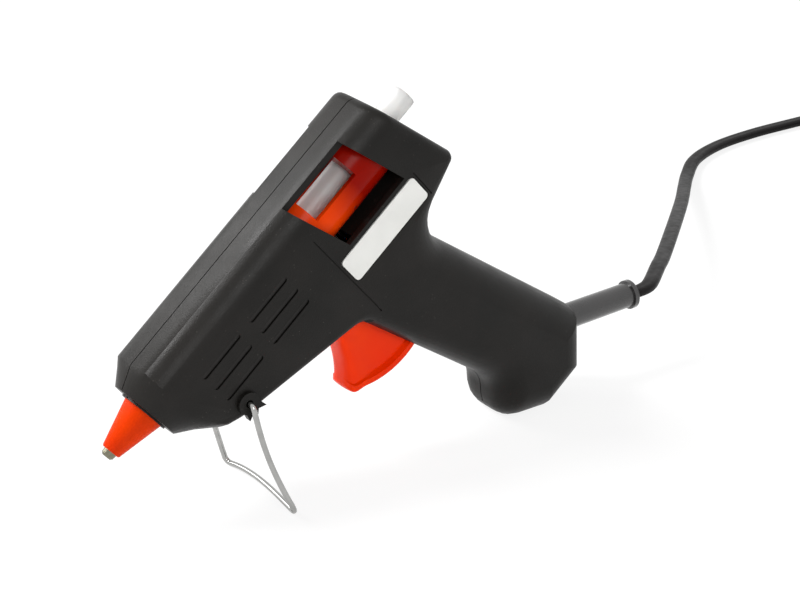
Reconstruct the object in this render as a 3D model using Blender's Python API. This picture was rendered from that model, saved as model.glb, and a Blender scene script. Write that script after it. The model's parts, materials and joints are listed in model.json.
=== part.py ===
"""Mini hot glue applicator, built piece by piece.

Every piece is modelled in the gun frame: X runs forward along the nozzle axis from the front
face of the housing, Y to the left, Z up. The empty "stance" then tips the gun nose down onto
its wire stand and the heel of its handle, and sets it on the floor. Lengths are metres.
"""
import math

import bmesh
import bpy
import numpy as np
from mathutils import Matrix, Vector

# Stance: the tip of the gun, nose down onto its stand
PITCH_DEG = 40.0

# General fits
OVERRUN = 0.002
SEAT_GAP = 0.0003
PIN_GAP = 0.00015
RUNNING_GAP = 0.0003

# Housing outline, seen from the side
HALF_WIDTH = 0.0120
WALL = 0.0020
SEAM_GAP = 0.0003
TOP_HEIGHT = 0.0129
BARREL_LENGTH = 0.0975
BARREL_REAR_DEPTH = 0.0178
REAR_SLANT_DEG = 14.0
NOSE_RADIUS = 0.0098
NOSE_CHAMFER = 0.0066
NOSE_BLOCK = 0.0085
BELLY_START = 0.0150
BELLY_DEPTH = 0.0183
GRIP_SLANT_DEG = 15.3
NECK_SETBACK = 0.0849
NECK_DEPTH = 0.0289
GRIP_SPAN = 0.0300
END_DEPTH = 0.1072
END_LAND = 0.0179
SOLE_LENGTH = 0.0119
HOOK_RISE = 0.0212
EXIT_RISE = 0.0132

# Housing corners and edge rounds
REAR_TOP_FILLET = 0.0030
REAR_LOW_FILLET = 0.0025
NECK_FILLET = 0.0110
EXIT_FILLET = 0.0025
HEEL_FILLET = 0.0030
TOE_FILLET = 0.0075
HOOK_FILLET = 0.0090
ARCH_FILLET = 0.0080
BELLY_FILLET = 0.0150
SHOULDER_ROUND = 0.0080
GRIP_ROUND = 0.0095
EXIT_ROUND = 0.0075
HEEL_ROUND = 0.0062
SOLE_ROUND = 0.0088
TOE_ROUND = 0.0080
ARCH_ROUND = 0.0045
EDGE_ROUND = 0.0020
REAR_EDGE_ROUND = 0.0024

# Window in each flank, slanted like the rear face
WINDOW_FRONT = 0.0620
WINDOW_LENGTH = 0.0229
WINDOW_TOP = 0.0124
WINDOW_LOW = 0.0087
WINDOW_LEDGE = 0.0062
WINDOW_LEDGE_DROP = 0.0025
WINDOW_LEDGE_THICKNESS = 0.0015

# Vents: two groups of three slots
VENT_LENGTH = 0.0148
VENT_WIDTH = 0.0016
VENT_PITCH = 0.0052
VENT_HEIGHT = 0.0009
VENT_FRONT_X = 0.0154
VENT_REAR_X = 0.0344

# Label recess and the trim grooves beside it
LABEL_LENGTH = 0.0300
LABEL_HEIGHT = 0.0085
LABEL_THICKNESS = 0.0004
LABEL_PROUD = 0.0001
LABEL_CORNER = 0.0012
LABEL_FRONT = 0.0620
LABEL_TOP = 0.0103
GROOVE_WIDTH = 0.0004
GROOVE_DEPTH = 0.0004
GROOVE_FRONT_X = 0.0607
GROOVE_TOP = 0.0015
GROOVE_LENGTH = 0.0332
REAR_GROOVE_X = 0.0927
REAR_GROOVE_TOP = -0.0098
REAR_GROOVE_LENGTH = 0.0095

# Nozzle tip and its silicone sleeve
NOZZLE_REACH = 0.0156
NOZZLE_END_RADIUS = 0.0018
NOZZLE_BASE_RADIUS = 0.0032
NOZZLE_SHANK_RADIUS = 0.0023
NOZZLE_SHANK = 0.0053
NOZZLE_HEX_RADIUS = 0.0040
NOZZLE_HEX = 0.0032
NOZZLE_BORE = 0.0009
SLEEVE_REACH = 0.0138
SLEEVE_BASE_RADIUS = 0.00605
SLEEVE_END_RADIUS = 0.00275
SLEEVE_FLANGE_RADIUS = 0.0072
SLEEVE_FLANGE = 0.0015
SLEEVE_SETBACK = 0.0015
NOSE_RIM_RADIUS = 0.0070
NOSE_RIM = 0.0006

# Melt chamber with the heater channel under it
CHAMBER_FRONT = 0.0040
CHAMBER_NECK = 0.0050
CHAMBER_NECK_RADIUS = 0.0046
CHAMBER_LENGTH = 0.0370
CHAMBER_RADIUS = 0.0064
CHAMBER_BORE_GAP = 0.0003
MELT_START = 0.0200
CHANNEL_HALF_WIDTH = 0.0052
CHANNEL_LENGTH = 0.0240
CHANNEL_DEPTH = 0.0142
CHANNEL_FLOOR = 0.0012
POCKET_HALF_WIDTH = 0.0039
POCKET_TOP = 0.0074
FILM_THICKNESS = 0.00025
ELECTRODE_THICKNESS = 0.0004
ELECTRODE_TAIL = 0.0095
ELECTRODE_TAIL_HALF_WIDTH = 0.0011
ELECTRODE_TAIL_OFFSET = 0.0016
HEATER_LENGTH = 0.0200
CLIP_THICKNESS = 0.0005
CLIP_LENGTH = 0.0080
CLIP_HEIGHT = 0.0060

# Stick seal behind the chamber
SEAL_LENGTH = 0.0077
SEAL_RADIUS = 0.0060
SEAL_FLANGE_RADIUS = 0.0072
SEAL_FLANGE = 0.0015

# Glue stick
STICK_RADIUS = 0.0036
STICK_FRONT = 0.0340
STICK_REAR = 0.1084
STICK_CHAMFER = 0.0003

# Feed carriage
CARRIAGE_FRONT = 0.0570
CARRIAGE_LENGTH = 0.0390
CARRIAGE_RADIUS = 0.0096
CARRIAGE_SKIN = 0.0013
CARRIAGE_BORE_GAP = 0.0005
CUTOUT_FRONT = 0.0660
CUTOUT_LENGTH = 0.0158
CUTOUT_EDGE = 0.0025
KEEL_HALF_WIDTH = 0.0024
KEEL_LENGTH = 0.0075
KEEL_DEPTH = 0.0143
KEEL_SETBACK = 0.0012
PUSH_PIN_RADIUS = 0.0012
PUSH_PIN_DEPTH = 0.0125

# Grip lever that bites the stick, on its own pin in the carriage
LEVER_PIN_RADIUS = 0.0008
LEVER_HALF_WIDTH = 0.0015
LEVER_LENGTH = 0.0075
LEVER_THICKNESS = 0.0018
LEVER_REST_GAP = 0.0008
LEVER_PIN_SETBACK = 0.0762
LEVER_PIN_DEPTH = 0.0058

# Trigger
PIVOT_X = 0.0585
PIVOT_Z = 0.0300
TRIGGER_TRAVEL_DEG = 23.0
TRIGGER_RADIUS = 0.0248
TRIGGER_CORE_HALF_WIDTH = 0.0042
TRIGGER_HALF_WIDTH = 0.0054
TRIGGER_RIM = 0.0017
TRIGGER_TIP_REACH = 0.0177
TRIGGER_TIP_DROP = 0.0186
TRIGGER_TOP_REACH = 0.0090
TRIGGER_TOP_DROP = 0.0010
TRIGGER_HOLLOW = 0.0030
TRIGGER_TIP_FILLET = 0.0016
TRIGGER_REAR_DEG = 124.0
TRIGGER_RIM_START_DEG = 51.5
TRIGGER_BOSS_RADIUS = 0.0044
PIVOT_PIN_RADIUS = 0.0015
PIVOT_PIN_HALF_LENGTH = 0.0087
FORK_HALF_WIDTH = 0.0032
FORK_THICKNESS = 0.0024
FORK_TIP = 0.0017

# Return spring
SPRING_RADIUS = 0.0019
SPRING_WIRE = 0.00035
SPRING_LENGTH = 0.0200
SPRING_DEPTH = 0.0135
SPRING_TURNS = 11
SPRING_POST_RADIUS = 0.0015

# Wire stand
STAND_PIVOT_X = 0.0185
STAND_PIVOT_Z = 0.0155
STAND_WIRE = 0.0008
STAND_LEAN_DEG = 16.2
STAND_HALF_WIDTH = 0.0180
STAND_FOOT_SHIFT = 0.0010
STAND_SHOULDER = 0.0148
STAND_PIN_END = 0.0086
STAND_BEND = 0.0015
LUG_RADIUS = 0.0032
LUG_NOTCH = 0.0034
LUG_HEIGHT = 0.0011
LUG_TOOTH_REACH = (0.0054, 0.0045, 0.0051)
LUG_TOOTH_DEG = (238.0, 276.0, 310.0)
LUG_ROUND_DEG = (-32.0, 220.0)

# Housing screws: how far each lies inside the line of the shell beside it
SCREW_RADIUS = 0.0011
SCREW_HEAD_RADIUS = 0.0019
SCREW_HEAD = 0.0014
SCREW_SEAT = 0.0060
SCREW_END = 0.0070
PILLAR_RADIUS = 0.0028
NOSE_SCREW_X = 0.0340
NOSE_SCREW_RISE = 0.0053
REAR_SCREW_INSET = 0.0064
REAR_SCREW_RISE = 0.0050
GRIP_SCREW_INSET = 0.0113
GRIP_SCREW_DEPTH = 0.0560
HEEL_SCREW_INSET = 0.0279
HEEL_SCREW_RISE = 0.0107

# Cord entry
RELIEF_DROP_DEG = 37.9
RELIEF_RADIUS = 0.00385
RELIEF_END_RADIUS = 0.0044
RELIEF_END = 0.0017
RELIEF_LENGTH = 0.0266
RELIEF_INNER = 0.0040
RELIEF_FLANGE_RADIUS = 0.0046
RELIEF_PLACE_SHARE = 0.335
CORD_RADIUS = 0.0024
INNER_CORD_RADIUS = 0.0020
INNER_CORD_LENGTH = 0.0210
CLAMP_SPACING = 0.0052
CLAMP_WIDTH = 0.0045
CLAMP_THICKNESS = 0.0024
CLAMP_SETBACK = 0.0165
CLAMP_SCREW_RADIUS = 0.0009
CLAMP_SCREW_HEAD_RADIUS = 0.0017
CLAMP_SCREW_HEAD = 0.0010
CLAMP_SCREW_LENGTH = 0.0060
CLAMP_POST_RADIUS = 0.0019
LEAD_RADIUS = 0.0007
CRIMP_RADIUS = 0.0014
CRIMP_LENGTH = 0.0080

# Cord on the floor: its route from the strain relief to the coil, in floor places, where the
# origin lies on the floor under the nozzle's base and X still runs to the front. If the relief's
# end moves, the first points move with it, by less and less
CORD_GAP = 0.0005
CORD_START_GAP = 0.0007
CORD_FREE_POINTS = 12
CORD_ROUTE = [
    (-0.1666, 0.0000, 0.0236),
    (-0.1700, 0.0000, 0.0237),
    (-0.1732, -0.0008, 0.0238),
    (-0.1765, -0.0030, 0.0238),
    (-0.1805, -0.0064, 0.0234),
    (-0.1870, -0.0120, 0.0228),
    (-0.1961, -0.0199, 0.0213),
    (-0.2229, -0.0452, 0.0160),
    (-0.2500, -0.0716, 0.0094),
    (-0.2660, -0.0880, 0.0056),
    (-0.2800, -0.1020, 0.0034),
    (-0.2935, -0.1128, 0.0030),
    (-0.3100, -0.1188, 0.0030),
    (-0.3300, -0.1207, 0.0030),
    (-0.3520, -0.1200, 0.0030),
    (-0.3740, -0.1190, 0.0030),
    (-0.3900, -0.1189, 0.0030),
]
COIL_X = -0.4000
COIL_INNER_RADIUS = 0.0194
COIL_TURNS = 3
COIL_TAIL = 0.0300
TIE_WIDTH = 0.0060
TIE_THICKNESS = 0.0004
TIE_GAP = 0.0003
TIE_CORNER = 0.0020

# Plug, lying beside the coil
PLUG_NECK_RADIUS = 0.0042
PLUG_NECK = 0.0100
PLUG_LENGTH = 0.0260
PLUG_HALF_WIDTH = 0.0172
PLUG_REAR_HALF_WIDTH = 0.0085
PLUG_HALF_HEIGHT = 0.0069
PLUG_TAPER = 0.0090
PLUG_EDGE = 0.0018
PLUG_PIN_RADIUS = 0.0020
PLUG_PIN_LENGTH = 0.0190
PLUG_PIN_SEAT = 0.0040
PLUG_PIN_SPACING = 0.0090

# Colours: base colour, roughness, metallic
BLACK_PLASTIC = ((0.018, 0.018, 0.017), 0.55, 0.0)
ORANGE_GLOSS = ((0.95, 0.07, 0.01), 0.22, 0.0)
ORANGE_SOFT = ((0.85, 0.09, 0.01), 0.5, 0.0)
STEEL = ((0.62, 0.62, 0.62), 0.25, 1.0)
ALUMINIUM = ((0.70, 0.70, 0.70), 0.4, 1.0)
BRASS = ((0.75, 0.68, 0.50), 0.3, 1.0)
CERAMIC = ((0.30, 0.29, 0.28), 0.7, 0.0)
FILM = ((0.60, 0.28, 0.04), 0.3, 0.0)
CLEAR_STICK = ((0.85, 0.82, 0.80), 0.3, 0.0)
WHITE = ((0.85, 0.85, 0.84), 0.45, 0.0)
GREY_SILICONE = ((0.30, 0.30, 0.30), 0.6, 0.0)
BLACK_RUBBER = ((0.012, 0.012, 0.012), 0.35, 0.0)
LEAD_COLOURS = (((0.20, 0.07, 0.02), 0.4, 0.0), ((0.03, 0.10, 0.45), 0.4, 0.0))

PITCH = math.radians(PITCH_DEG)
HALF_GAP = SEAM_GAP / 2
ROUND_STEPS = 28


def clear_scene():
    for old in list(bpy.data.objects):
        bpy.data.objects.remove(old, do_unlink=True)


def material(name, look):
    colour, roughness, metallic = look
    made = bpy.data.materials.new(name)
    made.use_nodes = True
    shader = made.node_tree.nodes["Principled BSDF"]
    shader.inputs["Base Color"].default_value = (*colour, 1.0)
    shader.inputs["Roughness"].default_value = roughness
    shader.inputs["Metallic"].default_value = metallic
    return made


def new_object(name, bm, look=None):
    """An object from a bmesh, facing out and shaded smooth but for its sharp edges."""
    bmesh.ops.recalc_face_normals(bm, faces=bm.faces[:])
    mesh = bpy.data.meshes.new(name)
    bm.to_mesh(mesh)
    bm.free()
    obj = bpy.data.objects.new(name, mesh)
    bpy.context.scene.collection.objects.link(obj)
    mesh.shade_smooth()
    mesh.set_sharp_from_angle(angle=math.radians(35))
    if look:
        mesh.materials.append(material(name, look))
    return obj


def combine(target, tool, operation):
    """Join, cut or keep the common part of two closed solids, and drop the tool."""
    modifier = target.modifiers.new("combine", "BOOLEAN")
    modifier.operation = operation
    modifier.solver = "EXACT"
    modifier.object = tool
    depsgraph = bpy.context.evaluated_depsgraph_get()
    mesh = bpy.data.meshes.new_from_object(target.evaluated_get(depsgraph))
    target.modifiers.remove(modifier)
    target.data = mesh
    bpy.data.objects.remove(tool, do_unlink=True)
    mesh.shade_smooth()
    mesh.set_sharp_from_angle(angle=math.radians(35))
    return target


def cut(target, tool):
    return combine(target, tool, "DIFFERENCE")


def join(target, tool):
    return combine(target, tool, "UNION")


def prism(name, outline, y_low, y_high, look=None):
    """A flat outline of (x, z) points, given its thickness along Y."""
    bm = bmesh.new()
    low = [bm.verts.new((x, y_low, z)) for x, z in outline]
    high = [bm.verts.new((x, y_high, z)) for x, z in outline]
    count = len(outline)
    for i in range(count):
        j = (i + 1) % count
        bm.faces.new((low[i], low[j], high[j], high[i]))
    bm.faces.new(low[::-1])
    bm.faces.new(high)
    return new_object(name, bm, look)


def plate(name, outline, x_low, x_high, look=None):
    """A flat outline of (y, z) points, given its thickness along X."""
    bm = bmesh.new()
    low = [bm.verts.new((x_low, y, z)) for y, z in outline]
    high = [bm.verts.new((x_high, y, z)) for y, z in outline]
    count = len(outline)
    for i in range(count):
        j = (i + 1) % count
        bm.faces.new((low[i], low[j], high[j], high[i]))
    bm.faces.new(low[::-1])
    bm.faces.new(high)
    return new_object(name, bm, look)


def box(name, low, high, look=None):
    outline = [(low[0], low[2]), (high[0], low[2]), (high[0], high[2]), (low[0], high[2])]
    return prism(name, outline, low[1], high[1], look)


def ring_points(centre, across, up, radius, steps):
    for i in range(steps):
        angle = math.tau * i / steps
        yield centre + across * (radius * math.cos(angle)) + up * (radius * math.sin(angle))


def turned(name, start, direction, profile, look=None, steps=ROUND_STEPS, bore=None):
    """A solid turned about a line. profile and bore are (distance, radius) along that line."""
    axis = Vector(direction).normalized()
    side = Vector((0, 1, 0)) if abs(axis.y) < 0.9 else Vector((1, 0, 0))
    across = axis.cross(side).normalized()
    up = axis.cross(across)
    path = list(profile) + list(reversed(bore or []))
    bm = bmesh.new()
    rings = []
    for distance, radius in path:
        centre = Vector(start) + axis * distance
        rings.append([bm.verts.new(p) for p in ring_points(centre, across, up, radius, steps)])
    pairs = list(zip(rings, rings[1:]))
    if bore:
        pairs.append((rings[-1], rings[0]))
    else:
        bm.faces.new(rings[0])
        bm.faces.new(rings[-1])
    for one, two in pairs:
        for i in range(steps):
            j = (i + 1) % steps
            bm.faces.new((one[i], one[j], two[j], two[i]))
    return new_object(name, bm, look)


def rod(name, start, end, radius, look=None, steps=ROUND_STEPS):
    length = (Vector(end) - Vector(start)).length
    return turned(name, start, Vector(end) - Vector(start), [(0, radius), (length, radius)], look, steps)


def rounded_path(points, radius, steps):
    """A polyline with its inner corners rounded, as a list of points."""
    points = [Vector(p) for p in points]
    path = [points[0]]
    for before, corner, after in zip(points, points[1:], points[2:]):
        back = (before - corner).normalized()
        ahead = (after - corner).normalized()
        turn = math.pi - back.angle(ahead)
        reach = radius * math.tan(turn / 2)
        centre = corner + (back + ahead).normalized() * (radius / math.cos(turn / 2))
        first = corner + back * reach - centre
        last = corner + ahead * reach - centre
        for i in range(steps + 1):
            share = i / steps
            weight_a = math.sin((1 - share) * turn) / math.sin(turn)
            weight_b = math.sin(share * turn) / math.sin(turn)
            path.append(centre + first * weight_a + last * weight_b)
    path.append(points[-1])
    return path


def tube(name, points, radius, look, resolution=2):
    """A round wire, cord or spring along a list of points."""
    curve = bpy.data.curves.new(name, "CURVE")
    curve.dimensions = "3D"
    spline = curve.splines.new("POLY")
    spline.points.add(len(points) - 1)
    for point, place in zip(spline.points, points):
        point.co = (*place, 1)
    curve.bevel_depth = radius
    curve.bevel_resolution = resolution
    curve.use_fill_caps = True
    obj = bpy.data.objects.new(name, curve)
    bpy.context.scene.collection.objects.link(obj)
    curve.materials.append(material(name, look))
    return obj


def smooth_route(points, spacing):
    """Even points along a smooth curve through hand-chosen points."""
    route = np.array([tuple(p) for p in points])
    padded = np.vstack([2 * route[0] - route[1], route, 2 * route[-1] - route[-2]])
    dense = []
    for i in range(len(route) - 1):
        p0, p1, p2, p3 = padded[i:i + 4]
        for t in np.linspace(0, 1, 40, endpoint=False):
            dense.append(0.5 * (2 * p1 + (p2 - p0) * t + (2 * p0 - 5 * p1 + 4 * p2 - p3) * t ** 2
                                + (3 * p1 - p0 - 3 * p2 + p3) * t ** 3))
    dense = np.array(dense + [route[-1]])
    steps = np.linalg.norm(np.diff(dense, axis=0), axis=1)
    along = np.concatenate([[0], np.cumsum(steps)])
    count = max(2, round(along[-1] / spacing))
    even = np.linspace(0, along[-1], count + 1)
    return [Vector([np.interp(s, along, dense[:, k]) for k in range(3)]) for s in even]


def move_origin(obj, point):
    """Put an object's origin on its joint, with the shape where it was."""
    obj.data.transform(Matrix.Translation(-Vector(point)))
    obj.location = point


# Housing outline

def grip_line(depth):
    """Setback of the handle's rear line at a depth below the nozzle axis."""
    return NECK_SETBACK + (depth - NECK_DEPTH) * math.tan(math.radians(GRIP_SLANT_DEG))


def exit_facet():
    """Length of the slanted facet that the cord leaves through."""
    return EXIT_RISE / math.cos(math.radians(RELIEF_DROP_DEG))


def exit_low_setback():
    return grip_line(END_DEPTH - EXIT_RISE) - exit_facet() * math.sin(math.radians(RELIEF_DROP_DEG))


def heel_setback():
    return exit_low_setback() - END_LAND


def floor_drop():
    """How far the floor lies below the nozzle's base when the heel stands on it."""
    return END_DEPTH * math.cos(PITCH) - heel_setback() * math.sin(PITCH)


def floor_depth(setback):
    """Depth of the floor below the nozzle axis, in the gun frame, at a setback."""
    return (floor_drop() + setback * math.sin(PITCH)) / math.cos(PITCH)


def belly_depth(setback):
    return BELLY_DEPTH + (setback - BELLY_START) * math.tan(math.radians(GRIP_SLANT_DEG))


def rear_setback(height):
    return BARREL_LENGTH + (TOP_HEIGHT - height) * math.tan(math.radians(REAR_SLANT_DEG))


def arch_corner():
    """Where the belly line meets the front line of the handle."""
    slope = math.tan(math.radians(GRIP_SLANT_DEG))
    # belly: depth = b + s x; handle front: x = f + s depth
    front = grip_line(0) - GRIP_SPAN
    belly = belly_depth(0)
    depth = (belly + slope * front) / (1 - slope * slope)
    return front + slope * depth, depth


def exit_normal():
    angle = math.radians(RELIEF_DROP_DEG)
    return Vector((-math.cos(angle), 0, -math.sin(angle)))


def exit_corner():
    depth = END_DEPTH - EXIT_RISE
    return Vector((-grip_line(depth), 0, -depth))


def relief_start():
    """Centre of the cord exit on its facet."""
    normal = exit_normal()
    down_facet = Vector((-normal.z, 0, normal.x))
    return exit_corner() + down_facet * (RELIEF_PLACE_SHARE * exit_facet())


def housing_corners():
    """Corners of the side outline, anticlockwise from the nose top, seen from the right.

    Each is (x, z, fillet, round of the side before, round of the side after, steps, wall after).
    """
    arch_x, arch_z = arch_corner()
    corner = exit_corner()
    toe = heel_setback() - SOLE_LENGTH
    hook = END_DEPTH - HOOK_RISE
    rear_low = rear_setback(-BARREL_REAR_DEPTH)
    return [
        (OVERRUN, TOP_HEIGHT, EDGE_ROUND, EDGE_ROUND, SHOULDER_ROUND, 2, WALL),
        (-BARREL_LENGTH, TOP_HEIGHT, REAR_TOP_FILLET, SHOULDER_ROUND, REAR_EDGE_ROUND, 4, WALL),
        (-rear_low, -BARREL_REAR_DEPTH, REAR_LOW_FILLET, REAR_EDGE_ROUND, REAR_EDGE_ROUND, 4, WALL),
        (-NECK_SETBACK, -NECK_DEPTH, NECK_FILLET, GRIP_ROUND, GRIP_ROUND, 7, WALL),
        (corner.x, corner.z, EXIT_FILLET, GRIP_ROUND, EXIT_ROUND, 3, WALL),
        (-exit_low_setback(), -END_DEPTH, EXIT_FILLET, EXIT_ROUND, HEEL_ROUND, 3, WALL),
        (-heel_setback(), -END_DEPTH, HEEL_FILLET, HEEL_ROUND, SOLE_ROUND, 3, WALL),
        (-toe, -floor_depth(toe), TOE_FILLET, SOLE_ROUND, TOE_ROUND, 4, WALL),
        (GRIP_SPAN - grip_line(hook), -hook, HOOK_FILLET, TOE_ROUND, GRIP_ROUND, 6, WALL),
        (-arch_x, -arch_z, ARCH_FILLET, ARCH_ROUND, EDGE_ROUND, 6, WALL),
        (-BELLY_START, -BELLY_DEPTH, BELLY_FILLET, EDGE_ROUND, EDGE_ROUND, 4, WALL),
        (OVERRUN, -NOSE_RADIUS, EDGE_ROUND, EDGE_ROUND, EDGE_ROUND, 2, NOSE_BLOCK + OVERRUN),
    ]


def outline_at(corners, level, half_width, inset):
    """The outline at a distance from the mid plane, each side moved in by its own round.

    inset moves every side in by its wall first, for the hollow.
    """
    count = len(corners)

    def depth(round_size, wall):
        own = max(round_size - (wall if inset else 0), EDGE_ROUND / 4)
        over = max(0.0, level - (half_width - own))
        return own - math.sqrt(max(0.0, own * own - over * over)) + (wall if inset else 0)

    sides = []
    for i in range(count):
        here = Vector(corners[i][:2])
        there = Vector(corners[(i + 1) % count][:2])
        along = (there - here).normalized()
        sides.append((along, Vector((along.y, -along.x))))
    # the outline runs anticlockwise in (x, z) seen from the right, so this normal points in
    points = []
    depths = []
    for i in range(count):
        wall_in = corners[i - 1][6]
        wall_out = corners[i][6]
        deep_in = depth(corners[i][3], wall_in)
        deep_out = depth(corners[i][4], wall_out)
        normal_in = -sides[i - 1][1]
        normal_out = -sides[i][1]
        system = np.array([[*normal_in], [*normal_out]])
        shift = np.linalg.solve(system, [deep_in, deep_out])
        points.append(Vector(corners[i][:2]) + Vector(shift))
        depths.append(min(deep_in, deep_out))
    outline = []
    for i in range(count):
        before, here, after = points[i - 1], points[i], points[(i + 1) % count]
        back = before - here
        ahead = after - here
        turn = math.pi - back.angle(ahead)
        convex = sides[i - 1][0].cross(sides[i][0]) > 0
        fillet = corners[i][2]
        size = max(fillet * 0.15, fillet - depths[i]) if convex else fillet + depths[i]
        reach = min(size * math.tan(turn / 2), 0.47 * back.length, 0.47 * ahead.length)
        size = reach / math.tan(turn / 2)
        back.normalize()
        ahead.normalize()
        centre = here + (back + ahead).normalized() * (size / math.cos(turn / 2))
        first = here + back * reach - centre
        last = here + ahead * reach - centre
        steps = corners[i][5]
        for k in range(steps + 1):
            share = k / steps
            weight_a = math.sin((1 - share) * turn) / math.sin(turn)
            weight_b = math.sin(share * turn) / math.sin(turn)
            outline.append(centre + first * weight_a + last * weight_b)
    return outline


def housing_half(name, side):
    """One hollow shell: outer rings, inner rings, a rim on the seam and a closed flank."""
    corners = housing_corners()
    bm = bmesh.new()

    def rings(half_width, steps, inset):
        reach = GRIP_ROUND
        levels = [HALF_GAP] + [half_width - reach + reach * math.sin(math.pi / 2 * k / steps)
                               for k in range(steps + 1)]
        made = []
        for level in levels:
            outline = outline_at(corners, level, half_width, inset)
            made.append([bm.verts.new((p.x, side * level, p.y)) for p in outline])
        return made

    outer = rings(HALF_WIDTH, 7, False)
    inner = rings(HALF_WIDTH - WALL, 3, True)
    count = len(outer[0])
    for stack in (outer, inner):
        for one, two in zip(stack, stack[1:]):
            for i in range(count):
                j = (i + 1) % count
                bm.faces.new((one[i], one[j], two[j], two[i]))
        bm.faces.new(stack[-1])
    for i in range(count):
        j = (i + 1) % count
        bm.faces.new((outer[0][i], outer[0][j], inner[0][j], inner[0][i]))
    return new_object(name, bm, BLACK_PLASTIC)


def nose_form():
    """The space that the housing keeps to: a round nose that swells into the barrel."""
    slope = (TOP_HEIGHT - NOSE_RADIUS) / NOSE_CHAMFER
    far = 2 * BARREL_LENGTH
    stations = [
        (0.0, NOSE_RADIUS, NOSE_RADIUS, NOSE_RADIUS, 2.0),
        (NOSE_BLOCK / 2, HALF_WIDTH * 0.955, NOSE_RADIUS + slope * NOSE_BLOCK / 2, NOSE_RADIUS * 1.30, 2.6),
        (NOSE_BLOCK, HALF_WIDTH * 1.05, NOSE_RADIUS + slope * NOSE_BLOCK, NOSE_RADIUS * 1.66, 4.0),
        (BELLY_START, HALF_WIDTH * 1.2, NOSE_RADIUS + slope * BELLY_START, BELLY_DEPTH * 1.25, 6.0),
        (BELLY_START * 1.7, HALF_WIDTH * 2, far, far, 8.0),
        (far, HALF_WIDTH * 2, far, far, 8.0),
    ]
    steps = 32
    bm = bmesh.new()
    rings = []
    for setback, half, top, low, power in stations:
        ring = []
        for i in range(steps):
            angle = math.tau * (i + 0.5) / steps
            c, s = math.cos(angle), math.sin(angle)
            scale = (abs(c) ** power + abs(s) ** power) ** (-1 / power)
            height = top if s > 0 else low
            ring.append(bm.verts.new((-setback, half * c * scale, height * s * scale)))
        rings.append(ring)
    for one, two in zip(rings, rings[1:]):
        for i in range(steps):
            j = (i + 1) % steps
            bm.faces.new((one[i], one[j], two[j], two[i]))
    bm.faces.new(rings[0])
    bm.faces.new(rings[-1])
    return new_object("nose_form", bm)


def slot_outline(front, length, centre_z, width, steps=4):
    """A slot with round ends, along X."""
    radius = width / 2
    points = []
    for i in range(steps + 1):
        angle = -math.pi / 2 + math.pi * i / steps
        points.append((-front - radius + radius * math.cos(angle), centre_z + radius * math.sin(angle)))
    for i in range(steps + 1):
        angle = math.pi / 2 + math.pi * i / steps
        points.append((-front - length + radius + radius * math.cos(angle), centre_z + radius * math.sin(angle)))
    return points


def window_outline(top, low, grow):
    """A band of the window between two heights, slanted like the rear face."""
    lean = math.tan(math.radians(REAR_SLANT_DEG))

    def corner(setback, height):
        return (-setback - lean * (WINDOW_TOP - height), height)

    front = WINDOW_FRONT - grow
    rear = WINDOW_FRONT + WINDOW_LENGTH + grow
    return [corner(front, top), corner(rear, top), corner(rear, low), corner(front, low)]


def cut_window(shell, side):
    """The window, with a flat ledge inside along its top edge."""
    ledge = WINDOW_TOP - WINDOW_LEDGE_DROP
    join(shell, prism("ledge", window_outline(WINDOW_TOP, ledge, WALL / 2),
                      side * (WINDOW_LEDGE - WINDOW_LEDGE_THICKNESS), side * WINDOW_LEDGE))
    out = side * (HALF_WIDTH + OVERRUN)
    cut(shell, prism("window_top", window_outline(WINDOW_TOP, 0, 0), side * WINDOW_LEDGE, out))
    cut(shell, prism("window", window_outline(ledge, -WINDOW_LOW, 0), side * (HALF_WIDTH - SHOULDER_ROUND), out))


def cut_vents(shell, side):
    for front in (VENT_FRONT_X, VENT_REAR_X):
        for row in range(3):
            outline = slot_outline(front, VENT_LENGTH, VENT_HEIGHT - row * VENT_PITCH, VENT_WIDTH)
            inside = side * (HALF_WIDTH - 2 * WALL)
            cut(shell, prism("vent", outline, inside, side * (HALF_WIDTH + OVERRUN)))


def cut_nose(shell):
    """Bore for the sleeve, the wider seat behind it, and the room for the chamber."""
    profile_front = SLEEVE_BASE_RADIUS + SEAT_GAP
    rod_start = (OVERRUN, 0, 0)
    seat = (-SLEEVE_SETBACK + SEAT_GAP, 0, 0)
    cut(shell, rod("bore", rod_start, (-NOSE_BLOCK, 0, 0), profile_front))
    cut(shell, rod("seat", seat, (-NOSE_BLOCK - OVERRUN, 0, 0), SLEEVE_FLANGE_RADIUS + SEAT_GAP))


def screw_places():
    """(setback, depth) of each housing screw."""
    rear = BARREL_REAR_DEPTH - REAR_SCREW_RISE
    heel = END_DEPTH - HEEL_SCREW_RISE
    return [(NOSE_SCREW_X, belly_depth(NOSE_SCREW_X) - NOSE_SCREW_RISE),
            (rear_setback(-rear) - REAR_SCREW_INSET, rear),
            (grip_line(GRIP_SCREW_DEPTH) - GRIP_SCREW_INSET, GRIP_SCREW_DEPTH),
            (grip_line(heel) - HEEL_SCREW_INSET, heel)]


def across(name, x, z, y_from, y_to, radius, look=None, steps=20):
    return rod(name, (-x, y_from, -z), (-x, y_to, -z), radius, look, steps)


def lug_outline():
    """A round boss with three teeth on its low side, round the stand's hole."""
    first, last = LUG_ROUND_DEG
    places = [(first + (last - first) * k / 20, LUG_RADIUS) for k in range(21)]
    for number, (tooth, reach) in enumerate(zip(LUG_TOOTH_DEG, LUG_TOOTH_REACH)):
        if number:
            places.append(((LUG_TOOTH_DEG[number - 1] + tooth) / 2, LUG_NOTCH))
        places.append((tooth, reach))
    return [(-STAND_PIVOT_X + reach * math.cos(math.radians(angle)),
             -STAND_PIVOT_Z + reach * math.sin(math.radians(angle))) for angle, reach in places]


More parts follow.
